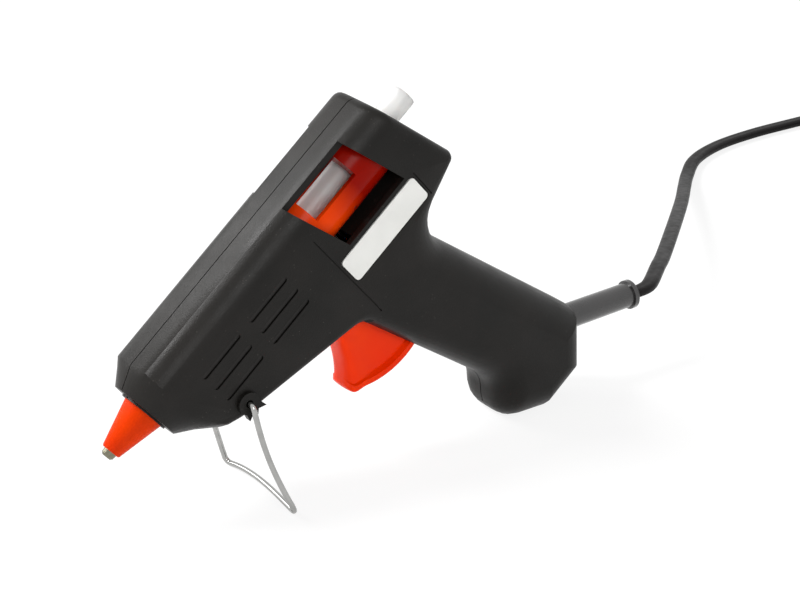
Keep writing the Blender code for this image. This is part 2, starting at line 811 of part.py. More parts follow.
def add_supports(shell, side):
    """Pillars, pivot bosses, the stand's lug and the ribs that carry the inner pieces."""
    deep = side * (HALF_WIDTH - WALL / 2)
    near = side * HALF_GAP
    for x, z in screw_places():
        join(shell, across("pillar", x, z, near, deep, PILLAR_RADIUS))
    boss = side * (TRIGGER_HALF_WIDTH + RUNNING_GAP)
    join(shell, across("boss", PIVOT_X, PIVOT_Z, boss, deep, PILLAR_RADIUS))
    join(shell, across("stand_boss", STAND_PIVOT_X, STAND_PIVOT_Z, side * STAND_PIN_END, deep, PILLAR_RADIUS * 0.75))
    join(shell, prism("lug", lug_outline(), side * (HALF_WIDTH - WALL / 2), side * (HALF_WIDTH + LUG_HEIGHT)))


def chamber_ribs():
    """Setbacks of the ribs that hold the chamber and the seal."""
    return (CHAMBER_FRONT + CHAMBER_LENGTH * 0.3, CHAMBER_FRONT + CHAMBER_LENGTH * 0.85,
            CHAMBER_FRONT + CHAMBER_LENGTH + SEAL_LENGTH * 0.6)


def add_ribs(shell, side):
    thick = WALL * 0.8
    low = -POCKET_TOP
    deep = side * (HALF_WIDTH - WALL / 2)
    arc_radius = SHOULDER_ROUND - WALL / 2
    arc_y = HALF_WIDTH - SHOULDER_ROUND
    arc_z = TOP_HEIGHT - SHOULDER_ROUND
    outline = [(side * HALF_GAP, low), (deep, low)]
    for k in range(6):
        angle = math.pi / 2 * k / 5
        outline.append((side * (arc_y + arc_radius * math.cos(angle)), arc_z + arc_radius * math.sin(angle)))
    outline.append((side * HALF_GAP, TOP_HEIGHT - WALL / 2))
    for setback in chamber_ribs():
        join(shell, plate("rib", outline, -setback - thick, -setback))
    rear_of_chamber = -CHAMBER_FRONT - CHAMBER_LENGTH - SEAT_GAP / 2
    cut(shell, rod("chamber_room", (-NOSE_BLOCK + OVERRUN / 4, 0, 0), (rear_of_chamber, 0, 0),
                   CHAMBER_RADIUS + SEAT_GAP))
    cut(shell, rod("seal_room", (rear_of_chamber + OVERRUN / 4, 0, 0),
                   (-CARRIAGE_FRONT, 0, 0), SEAL_RADIUS + SEAT_GAP))
    cut(shell, box("channel_room", (-CHAMBER_FRONT - CHAMBER_LENGTH, -CHANNEL_HALF_WIDTH - SEAT_GAP,
                                    -CHANNEL_DEPTH), (-NOSE_BLOCK, CHANNEL_HALF_WIDTH + SEAT_GAP, 0)))
    shelf_top = -CARRIAGE_RADIUS - RUNNING_GAP
    join(shell, box("shelf", (-CARRIAGE_FRONT - CARRIAGE_LENGTH, min(side * KEEL_HALF_WIDTH, deep),
                              shelf_top - WALL * 0.7),
                    (-CARRIAGE_FRONT - CARRIAGE_LENGTH / 3, max(side * KEEL_HALF_WIDTH, deep), shelf_top)))


def slot_sector():
    """The room that the trigger sweeps, as an outline round its pivot."""
    radius = TRIGGER_RADIUS + RUNNING_GAP * 2
    travel = TRIGGER_TRAVEL_DEG
    tip = (-PIVOT_X + TRIGGER_TIP_REACH + 2 * RUNNING_GAP, -PIVOT_Z - TRIGGER_TIP_DROP)
    top = (-PIVOT_X + TRIGGER_TOP_REACH + 3 * RUNNING_GAP, -PIVOT_Z + TRIGGER_HOLLOW)
    points = [(-PIVOT_X, -PIVOT_Z + TRIGGER_HOLLOW), top, tip]
    start = TRIGGER_RIM_START_DEG - 1
    end = TRIGGER_REAR_DEG + travel
    for k in range(13):
        angle = math.radians(-(start + (end - start) * k / 12))
        points.append((-PIVOT_X + radius * math.cos(angle), -PIVOT_Z + radius * math.sin(angle)))
    return points


def cut_holes(shell, side):
    """Pivot, stand, screw, trigger, stick and cord openings."""
    out = side * (HALF_WIDTH + OVERRUN + LUG_HEIGHT)
    centre = -side * OVERRUN
    cut(shell, across("pivot_hole", PIVOT_X, PIVOT_Z, side * TRIGGER_HALF_WIDTH,
                      side * (PIVOT_PIN_HALF_LENGTH + SEAT_GAP), PIVOT_PIN_RADIUS + PIN_GAP))
    cut(shell, across("stand_hole", STAND_PIVOT_X, STAND_PIVOT_Z, side * (STAND_PIN_END - OVERRUN), out,
                      STAND_WIRE + PIN_GAP * 2))
    half = TRIGGER_HALF_WIDTH + RUNNING_GAP
    cut(shell, prism("trigger_slot", slot_sector(), -half, half))
    rear = -rear_setback(0) - OVERRUN
    cut(shell, rod("stick_hole", (rear, 0, 0), (rear + 3 * OVERRUN, 0, 0), STICK_RADIUS + 3 * SEAT_GAP))
    start = relief_start()
    normal = exit_normal()
    cut(shell, rod("cord_hole", start + normal * OVERRUN, start - normal * (WALL + OVERRUN),
                   RELIEF_RADIUS + SEAT_GAP))
    for x, z in screw_places():
        if side < 0:
            cut(shell, across("head_hole", x, z, -SCREW_SEAT, out, SCREW_HEAD_RADIUS + SEAT_GAP))
            cut(shell, across("shank_hole", x, z, centre, -SCREW_SEAT - OVERRUN, SCREW_RADIUS + PIN_GAP * 2))
        else:
            cut(shell, across("pilot_hole", x, z, centre, SCREW_END + SEAT_GAP, SCREW_RADIUS + PIN_GAP))


def cut_trim(shell, side):
    """Label recess and grooves, on the left flank alone."""
    if side < 0:
        return
    face = HALF_WIDTH + LABEL_PROUD
    floor = face - LABEL_THICKNESS - SEAT_GAP
    cut(shell, prism("label_recess", label_outline(SEAT_GAP), floor, HALF_WIDTH + OVERRUN))
    for front, top, length in ((GROOVE_FRONT_X, GROOVE_TOP, GROOVE_LENGTH),
                               (REAR_GROOVE_X, REAR_GROOVE_TOP, REAR_GROOVE_LENGTH)):
        groove = [(-front, top), (-front - GROOVE_WIDTH, top),
                  (-front - GROOVE_WIDTH, top - length), (-front, top - length)]
        cut(shell, prism("groove", groove, HALF_WIDTH - GROOVE_DEPTH, HALF_WIDTH + OVERRUN))


def add_nose_rim(shell, side):
    half = turned("nose_rim", (-WALL, 0, 0), (1, 0, 0),
                  [(0, NOSE_RIM_RADIUS), (WALL + NOSE_RIM, NOSE_RIM_RADIUS)],
                  bore=[(0, SLEEVE_BASE_RADIUS + SEAT_GAP), (WALL + NOSE_RIM, SLEEVE_BASE_RADIUS + SEAT_GAP)])
    low = min(side * HALF_GAP, -side * 2 * HALF_WIDTH)
    high = max(side * HALF_GAP, -side * 2 * HALF_WIDTH)
    cut(half, box("other_half", (-HALF_WIDTH, low, -HALF_WIDTH), (HALF_WIDTH, high, HALF_WIDTH)))
    join(shell, half)


def housing(name, side):
    shell = housing_half(name, side)
    combine(shell, nose_form(), "INTERSECT")
    add_nose_rim(shell, side)
    add_supports(shell, side)
    add_ribs(shell, side)
    cut_nose(shell)
    cut_window(shell, side)
    cut_vents(shell, side)
    cut_holes(shell, side)
    cut_trim(shell, side)
    if side > 0:
        post = across("post", CARRIAGE_FRONT + KEEL_SETBACK + KEEL_LENGTH + SPRING_LENGTH + 2 * SPRING_POST_RADIUS,
                      SPRING_DEPTH, -SPRING_RADIUS, HALF_WIDTH - WALL / 2, SPRING_POST_RADIUS)
        join(shell, post)
    return shell


# Fasteners

def housing_screws():
    for number, (x, z) in enumerate(screw_places(), 1):
        head = -SCREW_SEAT - SEAT_GAP / 2
        screw = turned(f"housing_screw_{number}", (-x, head - SCREW_HEAD, -z), (0, 1, 0),
                       [(0, SCREW_HEAD_RADIUS * 0.8), (SCREW_HEAD * 0.4, SCREW_HEAD_RADIUS),
                        (SCREW_HEAD, SCREW_HEAD_RADIUS), (SCREW_HEAD, SCREW_RADIUS),
                        (SCREW_HEAD - head + SCREW_END * 0.85, SCREW_RADIUS),
                        (SCREW_HEAD - head + SCREW_END, SCREW_RADIUS / 3)], STEEL, 14)
        slot_half = SCREW_RADIUS / 5
        for turn in (0, 1):
            wide = (SCREW_HEAD_RADIUS * 0.6, slot_half) if turn else (slot_half, SCREW_HEAD_RADIUS * 0.6)
            cut(screw, box("recess", (-x - wide[0], head - 2 * SCREW_HEAD, -z - wide[1]),
                           (-x + wide[0], head - SCREW_HEAD / 2, -z + wide[1])))


# Nozzle and heater

def nozzle_tip():
    hex_front = -SLEEVE_SETBACK + SEAT_GAP * 2
    hex_rear = hex_front - NOZZLE_HEX
    start = hex_rear - NOZZLE_SHANK
    length = NOZZLE_REACH - start
    tip = turned("nozzle_tip", (start, 0, 0), (1, 0, 0),
                 [(0, NOZZLE_SHANK_RADIUS), (hex_front - start, NOZZLE_SHANK_RADIUS),
                  (hex_front - start, NOZZLE_BASE_RADIUS),
                  (SLEEVE_REACH - start, NOZZLE_END_RADIUS * 1.08), (length - NOZZLE_END_RADIUS * 0.3, NOZZLE_END_RADIUS),
                  (length, NOZZLE_END_RADIUS * 0.7)], BRASS, 24,
                 bore=[(0, NOZZLE_BORE * 1.5), (length, NOZZLE_BORE)])
    hexagon = turned("hexagon", (hex_rear, 0, 0), (1, 0, 0),
                     [(0, NOZZLE_HEX_RADIUS), (NOZZLE_HEX, NOZZLE_HEX_RADIUS)], steps=6,
                     bore=[(0, NOZZLE_SHANK_RADIUS * 0.8), (NOZZLE_HEX, NOZZLE_SHANK_RADIUS * 0.8)])
    join(tip, hexagon)
    return hex_rear


def nozzle_sleeve():
    back = -SLEEVE_SETBACK
    start = back - SLEEVE_FLANGE
    length = SLEEVE_REACH - start
    clear = SEAT_GAP * 1.2
    flange = SLEEVE_FLANGE
    step = flange + SEAT_GAP * 2 + SEAT_GAP
    turned("nozzle_sleeve", (start, 0, 0), (1, 0, 0),
           [(0, SLEEVE_FLANGE_RADIUS), (flange, SLEEVE_FLANGE_RADIUS), (flange, SLEEVE_BASE_RADIUS),
            (-back + flange, SLEEVE_BASE_RADIUS), (length - SEAT_GAP, SLEEVE_END_RADIUS),
            (length, SLEEVE_END_RADIUS - SEAT_GAP)], ORANGE_SOFT, 30,
           bore=[(0, NOZZLE_HEX_RADIUS + clear), (step, NOZZLE_HEX_RADIUS + clear),
                 (step, NOZZLE_BASE_RADIUS + clear), (length, NOZZLE_END_RADIUS * 1.08 + clear)])


def melt_chamber(hex_rear):
    front = hex_rear - SEAT_GAP
    rear = -CHAMBER_FRONT - CHAMBER_LENGTH
    bore = STICK_RADIUS + CHAMBER_BORE_GAP
    shoulder = front - CHAMBER_NECK
    thread = NOZZLE_SHANK_RADIUS + PIN_GAP
    chamber = turned("melt_chamber", (rear, 0, 0), (1, 0, 0),
                     [(0, CHAMBER_RADIUS), (shoulder - rear, CHAMBER_RADIUS),
                      (shoulder - rear, CHAMBER_NECK_RADIUS), (front - rear, CHAMBER_NECK_RADIUS)], ALUMINIUM, 28,
                     bore=[(0, bore), (-MELT_START - rear, bore), (front - NOZZLE_SHANK - rear - SEAT_GAP, thread),
                           (front - rear, thread)])
    low = (channel_rear(), -CHANNEL_HALF_WIDTH, -CHANNEL_DEPTH)
    high = (channel_rear() + CHANNEL_LENGTH, CHANNEL_HALF_WIDTH, -bore - WALL / 4)
    join(chamber, box("channel", low, high))
    pocket_low = (channel_rear() - OVERRUN, -POCKET_HALF_WIDTH, -CHANNEL_DEPTH + CHANNEL_FLOOR)
    pocket_high = (channel_rear() + CHANNEL_LENGTH + OVERRUN, POCKET_HALF_WIDTH, -POCKET_TOP)
    cut(chamber, box("pocket", pocket_low, pocket_high))


def channel_rear():
    return -CHAMBER_FRONT - CHAMBER_LENGTH + WALL * 2


def heater_stack():
    """PTC heater between two electrodes, in a wrap of insulating film, in the channel."""
    inner = POCKET_HALF_WIDTH - SEAT_GAP
    top = -POCKET_TOP - SEAT_GAP
    low = -CHANNEL_DEPTH + CHANNEL_FLOOR + SEAT_GAP
    rear = channel_rear() - SEAT_GAP
    front = rear + CHANNEL_LENGTH + 2 * SEAT_GAP
    film = box("insulating_film", (rear, -inner, low), (front, inner, top), FILM)
    hollow = inner - FILM_THICKNESS
    cut(film, box("film_room", (rear - OVERRUN, -hollow, low + FILM_THICKNESS),
                  (front + OVERRUN, hollow, top - FILM_THICKNESS)))
    half = hollow - SEAT_GAP
    middle = channel_rear() + CHANNEL_LENGTH / 2
    plate_top = top - FILM_THICKNESS - SEAT_GAP
    plate_low = low + FILM_THICKNESS + SEAT_GAP
    places = []
    for name, side, base in (("electrode_upper", 1, plate_top - ELECTRODE_THICKNESS), ("electrode_lower", -1, plate_low)):
        plate = box(name, (middle - HEATER_LENGTH / 2, -half, base),
                    (middle + HEATER_LENGTH / 2, half, base + ELECTRODE_THICKNESS), BRASS)
        tail_y = side * ELECTRODE_TAIL_OFFSET
        tail_end = middle - HEATER_LENGTH / 2 - ELECTRODE_TAIL
        join(plate, box("tail", (tail_end, tail_y - ELECTRODE_TAIL_HALF_WIDTH, base),
                        (middle, tail_y + ELECTRODE_TAIL_HALF_WIDTH, base + ELECTRODE_THICKNESS)))
        places.append(Vector((tail_end, tail_y, base + ELECTRODE_THICKNESS / 2)))
    box("ptc_heater", (middle - HEATER_LENGTH / 2, -half, plate_low + ELECTRODE_THICKNESS + SEAT_GAP),
        (middle + HEATER_LENGTH / 2, half, plate_top - ELECTRODE_THICKNESS - SEAT_GAP), CERAMIC)
    return places


def heater_clip():
    """Spring clip round the channel, from below."""
    middle = channel_rear() + CHANNEL_LENGTH / 2
    outer = CHANNEL_HALF_WIDTH + SEAT_GAP + CLIP_THICKNESS
    low = -CHANNEL_DEPTH - SEAT_GAP - CLIP_THICKNESS
    clip = box("heater_clip", (middle - CLIP_LENGTH / 2, -outer, low),
               (middle + CLIP_LENGTH / 2, outer, low + CLIP_HEIGHT), STEEL)
    cut(clip, box("clip_room", (middle - CLIP_LENGTH, -outer + CLIP_THICKNESS, low + CLIP_THICKNESS),
                  (middle + CLIP_LENGTH, outer - CLIP_THICKNESS, 0)))


def stick_seal():
    front = -CHAMBER_FRONT - CHAMBER_LENGTH - SEAT_GAP
    bore = STICK_RADIUS + CHAMBER_BORE_GAP
    turned("stick_seal", (front, 0, 0), (-1, 0, 0),
           [(0, SEAL_RADIUS), (SEAL_LENGTH - SEAL_FLANGE, SEAL_RADIUS),
            (SEAL_LENGTH - SEAL_FLANGE, SEAL_FLANGE_RADIUS), (SEAL_LENGTH, SEAL_FLANGE_RADIUS)], GREY_SILICONE, 28,
           bore=[(0, bore), (SEAL_LENGTH, bore * 1.1)])


def glue_stick():
    turned("glue_stick", (-STICK_REAR, 0, 0), (1, 0, 0),
           [(0, STICK_RADIUS - STICK_CHAMFER), (STICK_CHAMFER, STICK_RADIUS),
            (STICK_REAR - STICK_FRONT - STICK_CHAMFER, STICK_RADIUS),
            (STICK_REAR - STICK_FRONT, STICK_RADIUS - STICK_CHAMFER)], CLEAR_STICK, 32)


# Feed

def push_pin_x():
    """Setback of the push pin at rest: the fork leans back half its travel."""
    return PIVOT_X + (PIVOT_Z - PUSH_PIN_DEPTH) * math.tan(math.radians(TRIGGER_TRAVEL_DEG / 2))


def feed_carriage():
    rear = -CARRIAGE_FRONT - CARRIAGE_LENGTH
    bore = STICK_RADIUS + CARRIAGE_BORE_GAP
    carriage = turned("feed_carriage", (rear, 0, 0), (1, 0, 0),
                      [(0, CARRIAGE_RADIUS), (CARRIAGE_LENGTH, CARRIAGE_RADIUS)], ORANGE_GLOSS, 32,
                      bore=[(0, bore), (CARRIAGE_LENGTH, bore)])
    keel = push_pin_x()
    join(carriage, box("keel", (-keel - KEEL_LENGTH / 2, -KEEL_HALF_WIDTH, -KEEL_DEPTH),
                       (-keel + KEEL_LENGTH / 2, KEEL_HALF_WIDTH, -CARRIAGE_RADIUS + WALL)))
    cut(carriage, rod("cavity", (-CUTOUT_FRONT, 0, 0), (-CUTOUT_FRONT - CUTOUT_LENGTH, 0, 0),
                      CARRIAGE_RADIUS - CARRIAGE_SKIN, steps=32))
    cut(carriage, box("cutout", (-CUTOUT_FRONT - CUTOUT_LENGTH, -2 * CARRIAGE_RADIUS, CUTOUT_EDGE),
                      (-CUTOUT_FRONT, 2 * CARRIAGE_RADIUS, 2 * CARRIAGE_RADIUS)))
    cut(carriage, across("pin_hole", keel, PUSH_PIN_DEPTH, -CARRIAGE_RADIUS, CARRIAGE_RADIUS,
                         PUSH_PIN_RADIUS + PIN_GAP))
    cut(carriage, across("lever_hole", LEVER_PIN_SETBACK, LEVER_PIN_DEPTH, -CARRIAGE_RADIUS, CARRIAGE_RADIUS,
                         LEVER_PIN_RADIUS + PIN_GAP, steps=12))
    return carriage


def push_pin():
    reach = KEEL_HALF_WIDTH + SEAT_GAP + FORK_THICKNESS
    across("push_pin", push_pin_x(), PUSH_PIN_DEPTH, -reach, reach, PUSH_PIN_RADIUS, STEEL)


def grip_lever():
    """Toothed finger under the stick, on a pin across the carriage's cavity."""
    x = -LEVER_PIN_SETBACK
    z = -LEVER_PIN_DEPTH
    half = LEVER_THICKNESS / 2
    touch = -STICK_RADIUS - LEVER_REST_GAP
    outline = [(x - half, z - half), (x + half, z - half), (x + LEVER_LENGTH, z - half / 2),
               (x + LEVER_LENGTH, touch - half / 2), (x + LEVER_LENGTH - half / 2, touch),
               (x + LEVER_LENGTH - half, touch - half / 2), (x + half, z + half), (x - half, z + half)]
    lever = prism("grip_lever", outline, -LEVER_HALF_WIDTH, LEVER_HALF_WIDTH, STEEL)
    cut(lever, across("lever_pin_hole", LEVER_PIN_SETBACK, LEVER_PIN_DEPTH, -LEVER_LENGTH, LEVER_LENGTH,
                      LEVER_PIN_RADIUS * 0.75, steps=12))
    reach = math.sqrt((CARRIAGE_RADIUS - CARRIAGE_SKIN / 2) ** 2 - LEVER_PIN_DEPTH ** 2)
    across("lever_pin", LEVER_PIN_SETBACK, LEVER_PIN_DEPTH, -reach, reach, LEVER_PIN_RADIUS * 0.6, STEEL, 12)
    move_origin(lever, (x, 0, z))
    return lever


def trigger_front():
    """The finger face, from top to tip, as a hollow curve."""
    top = Vector((-PIVOT_X + TRIGGER_TOP_REACH, -PIVOT_Z + TRIGGER_TOP_DROP))
    tip = Vector((-PIVOT_X + TRIGGER_TIP_REACH, -PIVOT_Z - TRIGGER_TIP_DROP))
    middle = (top + tip) / 2 + Vector((-TRIGGER_HOLLOW, -TRIGGER_HOLLOW / 2))
    points = []
    for k in range(9):
        t = k / 8
        points.append(top * (1 - t) ** 2 + middle * (2 * t * (1 - t)) + tip * t ** 2)
    return points


def trigger_arc(radius, start, end, steps):
    return [Vector((-PIVOT_X + radius * math.cos(a), -PIVOT_Z + radius * math.sin(a)))
            for a in (math.radians(-(start + (end - start) * k / steps)) for k in range(steps + 1))]


def trigger():
    face = trigger_front()
    outer = trigger_arc(TRIGGER_RADIUS, TRIGGER_RIM_START_DEG, TRIGGER_REAR_DEG, 14)
    tip = rounded_path([(p.x, p.y, 0) for p in (face[-2], face[-1], outer[1])], TRIGGER_TIP_FILLET, 4)[1:-1]
    face[-1:] = [p.to_2d() for p in tip]
    outer = outer[1:]
    pivot = Vector((-PIVOT_X, -PIVOT_Z))
    rear_top = pivot + Vector((-TRIGGER_BOSS_RADIUS, TRIGGER_BOSS_RADIUS / 2))
    inset = TRIGGER_RIM / 4
    core_outline = [p + (pivot - p).normalized() * inset for p in face + outer] + [rear_top]
    made = prism("trigger", core_outline, -TRIGGER_CORE_HALF_WIDTH, TRIGGER_CORE_HALF_WIDTH, ORANGE_GLOSS)
    inner = trigger_arc(TRIGGER_RADIUS - TRIGGER_RIM, TRIGGER_REAR_DEG, TRIGGER_RIM_START_DEG + 6, 14)
    behind = [p + Vector((-TRIGGER_RIM, TRIGGER_RIM / 3)) for p in reversed(face[:-5])]
    band = face + outer + inner + behind
    join(made, prism("rim", band, -TRIGGER_HALF_WIDTH, TRIGGER_HALF_WIDTH))
    join(made, across("boss", PIVOT_X, PIVOT_Z, -TRIGGER_HALF_WIDTH, TRIGGER_HALF_WIDTH, TRIGGER_BOSS_RADIUS, steps=24))
    add_fork(made)
    cut(made, across("hole", PIVOT_X, PIVOT_Z, -HALF_WIDTH, HALF_WIDTH, PIVOT_PIN_RADIUS + PIN_GAP, steps=24))
    move_origin(made, (-PIVOT_X, 0, -PIVOT_Z))
    across("trigger_pin", PIVOT_X, PIVOT_Z, -PIVOT_PIN_HALF_LENGTH, PIVOT_PIN_HALF_LENGTH, PIVOT_PIN_RADIUS, STEEL)


def add_fork(made):
    """Two arms from the pivot up to the push pin, each with an open slot."""
    lean = math.radians(TRIGGER_TRAVEL_DEG / 2)
    up = Vector((-math.sin(lean), math.cos(lean)))
    side_way = Vector((up.y, -up.x))
    pivot = Vector((-PIVOT_X, -PIVOT_Z))
    reach = (PIVOT_Z - PUSH_PIN_DEPTH) / math.cos(lean)
    slot = PUSH_PIN_RADIUS + RUNNING_GAP
    foot = reach - slot - RUNNING_GAP
    tip = reach + FORK_TIP
    places = [(-FORK_HALF_WIDTH, 0), (FORK_HALF_WIDTH, 0), (FORK_HALF_WIDTH, tip), (slot, tip), (slot, foot),
              (-slot, foot), (-slot, tip), (-FORK_HALF_WIDTH, tip)]
    outline = [pivot + side_way * a + up * b for a, b in places]
    inside = KEEL_HALF_WIDTH + SEAT_GAP
    for side in (-1, 1):
        join(made, prism("arm", outline, side * inside, side * (inside + FORK_THICKNESS)))


def return_spring():
    """Extension spring from the carriage's keel back to a post in the left shell."""
    front = -push_pin_x() - KEEL_LENGTH / 2 - SEAT_GAP
    straight = 2 * SPRING_WIRE
    rear = -(CARRIAGE_FRONT + KEEL_SETBACK + KEEL_LENGTH + SPRING_LENGTH + SPRING_POST_RADIUS) + SEAT_GAP
    points = [Vector((front, 0, -SPRING_DEPTH)), Vector((front - straight, 0, -SPRING_DEPTH))]
    per_turn = 8
    total = SPRING_TURNS * per_turn
    begin = front - 2 * straight
    end = rear + 2 * straight
    for k in range(total + 1):
        angle = math.tau * k / per_turn
        x = begin + (end - begin) * k / total
        points.append(Vector((x, SPRING_RADIUS * math.sin(angle), -SPRING_DEPTH + SPRING_RADIUS * math.cos(angle))))
    points += [Vector((rear + straight, 0, -SPRING_DEPTH)), Vector((rear, 0, -SPRING_DEPTH))]
    tube("return_spring", points, SPRING_WIRE, STEEL, 1)


# Outside pieces

def label_outline(grow):
    """The label's outline, a rectangle with rounded corners."""
    low_x = -LABEL_FRONT - LABEL_LENGTH - grow
    high_x = -LABEL_FRONT + grow
    low_z = -LABEL_TOP - LABEL_HEIGHT - grow
    high_z = -LABEL_TOP + grow
    radius = LABEL_CORNER + grow
    points = []
    for cx, cz, start in ((high_x - radius, high_z - radius, 0), (low_x + radius, high_z - radius, 90),
                          (low_x + radius, low_z + radius, 180), (high_x - radius, low_z + radius, 270)):
        for k in range(5):
            angle = math.radians(start + 90 * k / 4)
            points.append((cx + radius * math.cos(angle), cz + radius * math.sin(angle)))
    return points


def label_plate():
    face = HALF_WIDTH + LABEL_PROUD
    prism("label_plate", label_outline(0), face - LABEL_THICKNESS, face, WHITE)


def stand_wire():
    """One bent wire: a pin in each lug, two legs and the foot bar between them."""
    pivot_x = -STAND_PIVOT_X
    pivot_z = -STAND_PIVOT_Z
    height = floor_drop() - pivot_x * math.sin(PITCH) + pivot_z * math.cos(PITCH) - STAND_WIRE
    back = height * math.tan(math.radians(STAND_LEAN_DEG))
    foot_x = pivot_x + height * math.sin(PITCH) - back * math.cos(PITCH)
    foot_z = pivot_z - height * math.cos(PITCH) - back * math.sin(PITCH)
    half = [(pivot_x, STAND_PIN_END, pivot_z), (pivot_x, STAND_SHOULDER, pivot_z)]
    foot = [(foot_x, STAND_FOOT_SHIFT + side * STAND_HALF_WIDTH, foot_z) for side in (1, -1)]
    points = half + foot + [(x, -y, z) for x, y, z in reversed(half)]
    wire = tube("stand_wire", rounded_path(points, STAND_BEND, 5), STAND_WIRE, STEEL)
    wire.data.transform(Matrix.Translation((-pivot_x, 0, -pivot_z)))
    wire.location = (pivot_x, 0, pivot_z)


def strain_relief():
    normal = exit_normal()
    start = relief_start() - normal * RELIEF_INNER
    flange = RELIEF_INNER - WALL - SEAT_GAP
    total = RELIEF_INNER + RELIEF_LENGTH
    bore = CORD_RADIUS + SEAT_GAP / 2
    turned("strain_relief", start, normal,
           [(0, RELIEF_FLANGE_RADIUS), (flange, RELIEF_FLANGE_RADIUS), (flange, RELIEF_RADIUS),
            (total - RELIEF_END, RELIEF_RADIUS * 0.97), (total - RELIEF_END, RELIEF_END_RADIUS),
            (total - SEAT_GAP, RELIEF_END_RADIUS), (total, RELIEF_END_RADIUS - SEAT_GAP)], BLACK_RUBBER, 32,
           bore=[(0, bore), (total, bore)])
    return relief_start() + normal * RELIEF_LENGTH


def cord_clamp():
    """Bar and two screws that hold the cord against posts in the left shell."""
    normal = exit_normal()
    facet = Vector((-normal.z, 0, normal.x))
    centre = relief_start() - normal * CLAMP_SETBACK
    y_high = -INNER_CORD_RADIUS - SEAT_GAP
    y_low = y_high - CLAMP_THICKNESS
    half_long = CLAMP_SPACING + CLAMP_POST_RADIUS
    half_wide = CLAMP_WIDTH / 2
    outline = []
    for a, b in ((-1, -1), (1, -1), (1, 1), (-1, 1)):
        p = centre + facet * (a * half_long) + normal * (b * half_wide)
        outline.append((p.x, p.z))
    bar = prism("cord_clamp", outline, y_low, y_high, BLACK_PLASTIC)
    posts = []
    for number, way in enumerate((-1, 1), 1):
        place = centre + facet * (way * CLAMP_SPACING)
        posts.append(place)
        cut(bar, across("hole", -place.x, -place.z, y_low - OVERRUN, y_high + OVERRUN,
                        CLAMP_SCREW_RADIUS + PIN_GAP, steps=12))
        head = y_low - PIN_GAP
        turned(f"clamp_screw_{number}", (place.x, head - CLAMP_SCREW_HEAD, place.z), (0, 1, 0),
               [(0, CLAMP_SCREW_HEAD_RADIUS * 0.8), (CLAMP_SCREW_HEAD * 0.5, CLAMP_SCREW_HEAD_RADIUS),
                (CLAMP_SCREW_HEAD, CLAMP_SCREW_HEAD_RADIUS), (CLAMP_SCREW_HEAD, CLAMP_SCREW_RADIUS),
                (CLAMP_SCREW_HEAD + CLAMP_SCREW_LENGTH, CLAMP_SCREW_RADIUS)], STEEL, 12)
    return posts, y_high


def add_clamp_posts(shell, posts, y_high):
    for place in posts:
        join(shell, across("post", -place.x, -place.z, y_high + SEAT_GAP, HALF_WIDTH - WALL / 2, CLAMP_POST_RADIUS, steps=16))
        cut(shell, across("hole", -place.x, -place.z, y_high - OVERRUN,
                          y_high + CLAMP_SCREW_LENGTH, CLAMP_SCREW_RADIUS + PIN_GAP, steps=12))


def inner_wiring(tails):
    """The cord inside the handle, its two crimps and the leads up to the heater."""
    normal = exit_normal()
    begin = relief_start() - normal * INNER_CORD_LENGTH
    end = relief_start() + normal * (RELIEF_LENGTH - SEAT_GAP)
    tube("inner_cord", smooth_route([begin, (begin + end) / 2, end], INNER_CORD_RADIUS * 3), INNER_CORD_RADIUS,
         BLACK_RUBBER, 2)
    down = Vector((-math.sin(math.radians(GRIP_SLANT_DEG)), 0, -math.cos(math.radians(GRIP_SLANT_DEG))))
    pillar_x, pillar_z = screw_places()[2]
    for side, tail, label in ((1, tails[0], "live"), (-1, tails[1], "neutral")):
        low = begin - normal * SEAT_GAP + Vector((0, side * CRIMP_RADIUS * 1.3, 0))
        look = LEAD_COLOURS[0] if side > 0 else LEAD_COLOURS[1]
        crimp_low = low - normal * CRIMP_RADIUS * 2 - down * CRIMP_RADIUS * 2
        crimp_high = crimp_low - down * CRIMP_LENGTH
        rod(f"{label}_crimp", crimp_low, crimp_high, CRIMP_RADIUS, GREY_SILICONE, 12)
        tube(f"{label}_core", smooth_route([low, low - normal * CRIMP_RADIUS, crimp_low - (crimp_low - low) * 0.3,
                                            crimp_low + down * SEAT_GAP], LEAD_RADIUS * 3), LEAD_RADIUS, look, 1)
        outside = side * (TRIGGER_HALF_WIDTH + LEAD_RADIUS + 4 * RUNNING_GAP)
        route = [crimp_high - down * SEAT_GAP,
                 crimp_high - down * CRIMP_LENGTH * 0.8,
                 Vector((-pillar_x + PILLAR_RADIUS * 2.4, outside, -pillar_z)),
                 Vector((-PIVOT_X - TRIGGER_RADIUS * 0.60, outside, -PIVOT_Z - TRIGGER_BOSS_RADIUS)),
                 Vector((-PIVOT_X - TRIGGER_BOSS_RADIUS, outside, -PIVOT_Z + TRIGGER_BOSS_RADIUS * 2.6)),
                 Vector((-PIVOT_X + TRIGGER_BOSS_RADIUS, outside, -PIVOT_Z + TRIGGER_BOSS_RADIUS * 3.2)),
                 tail + Vector((-LEAD_RADIUS * 8, side * LEAD_RADIUS * 4, -LEAD_RADIUS * 4)),
                 tail + Vector((-LEAD_RADIUS * 2, 0, 0)),
                 tail + Vector((-SEAT_GAP, 0, 0))]
        tube(f"{label}_lead", smooth_route(route, LEAD_RADIUS * 4), LEAD_RADIUS, look, 1)


# Cord, coil and plug, in floor places

def coil_centre():
    start = Vector(CORD_ROUTE[-1])
    return Vector((COIL_X, start.y + coil_outer_radius(), start.z))


def coil_pitch():
    return 2 * CORD_RADIUS + CORD_GAP


def coil_outer_radius():
    return COIL_INNER_RADIUS + COIL_TURNS * coil_pitch()


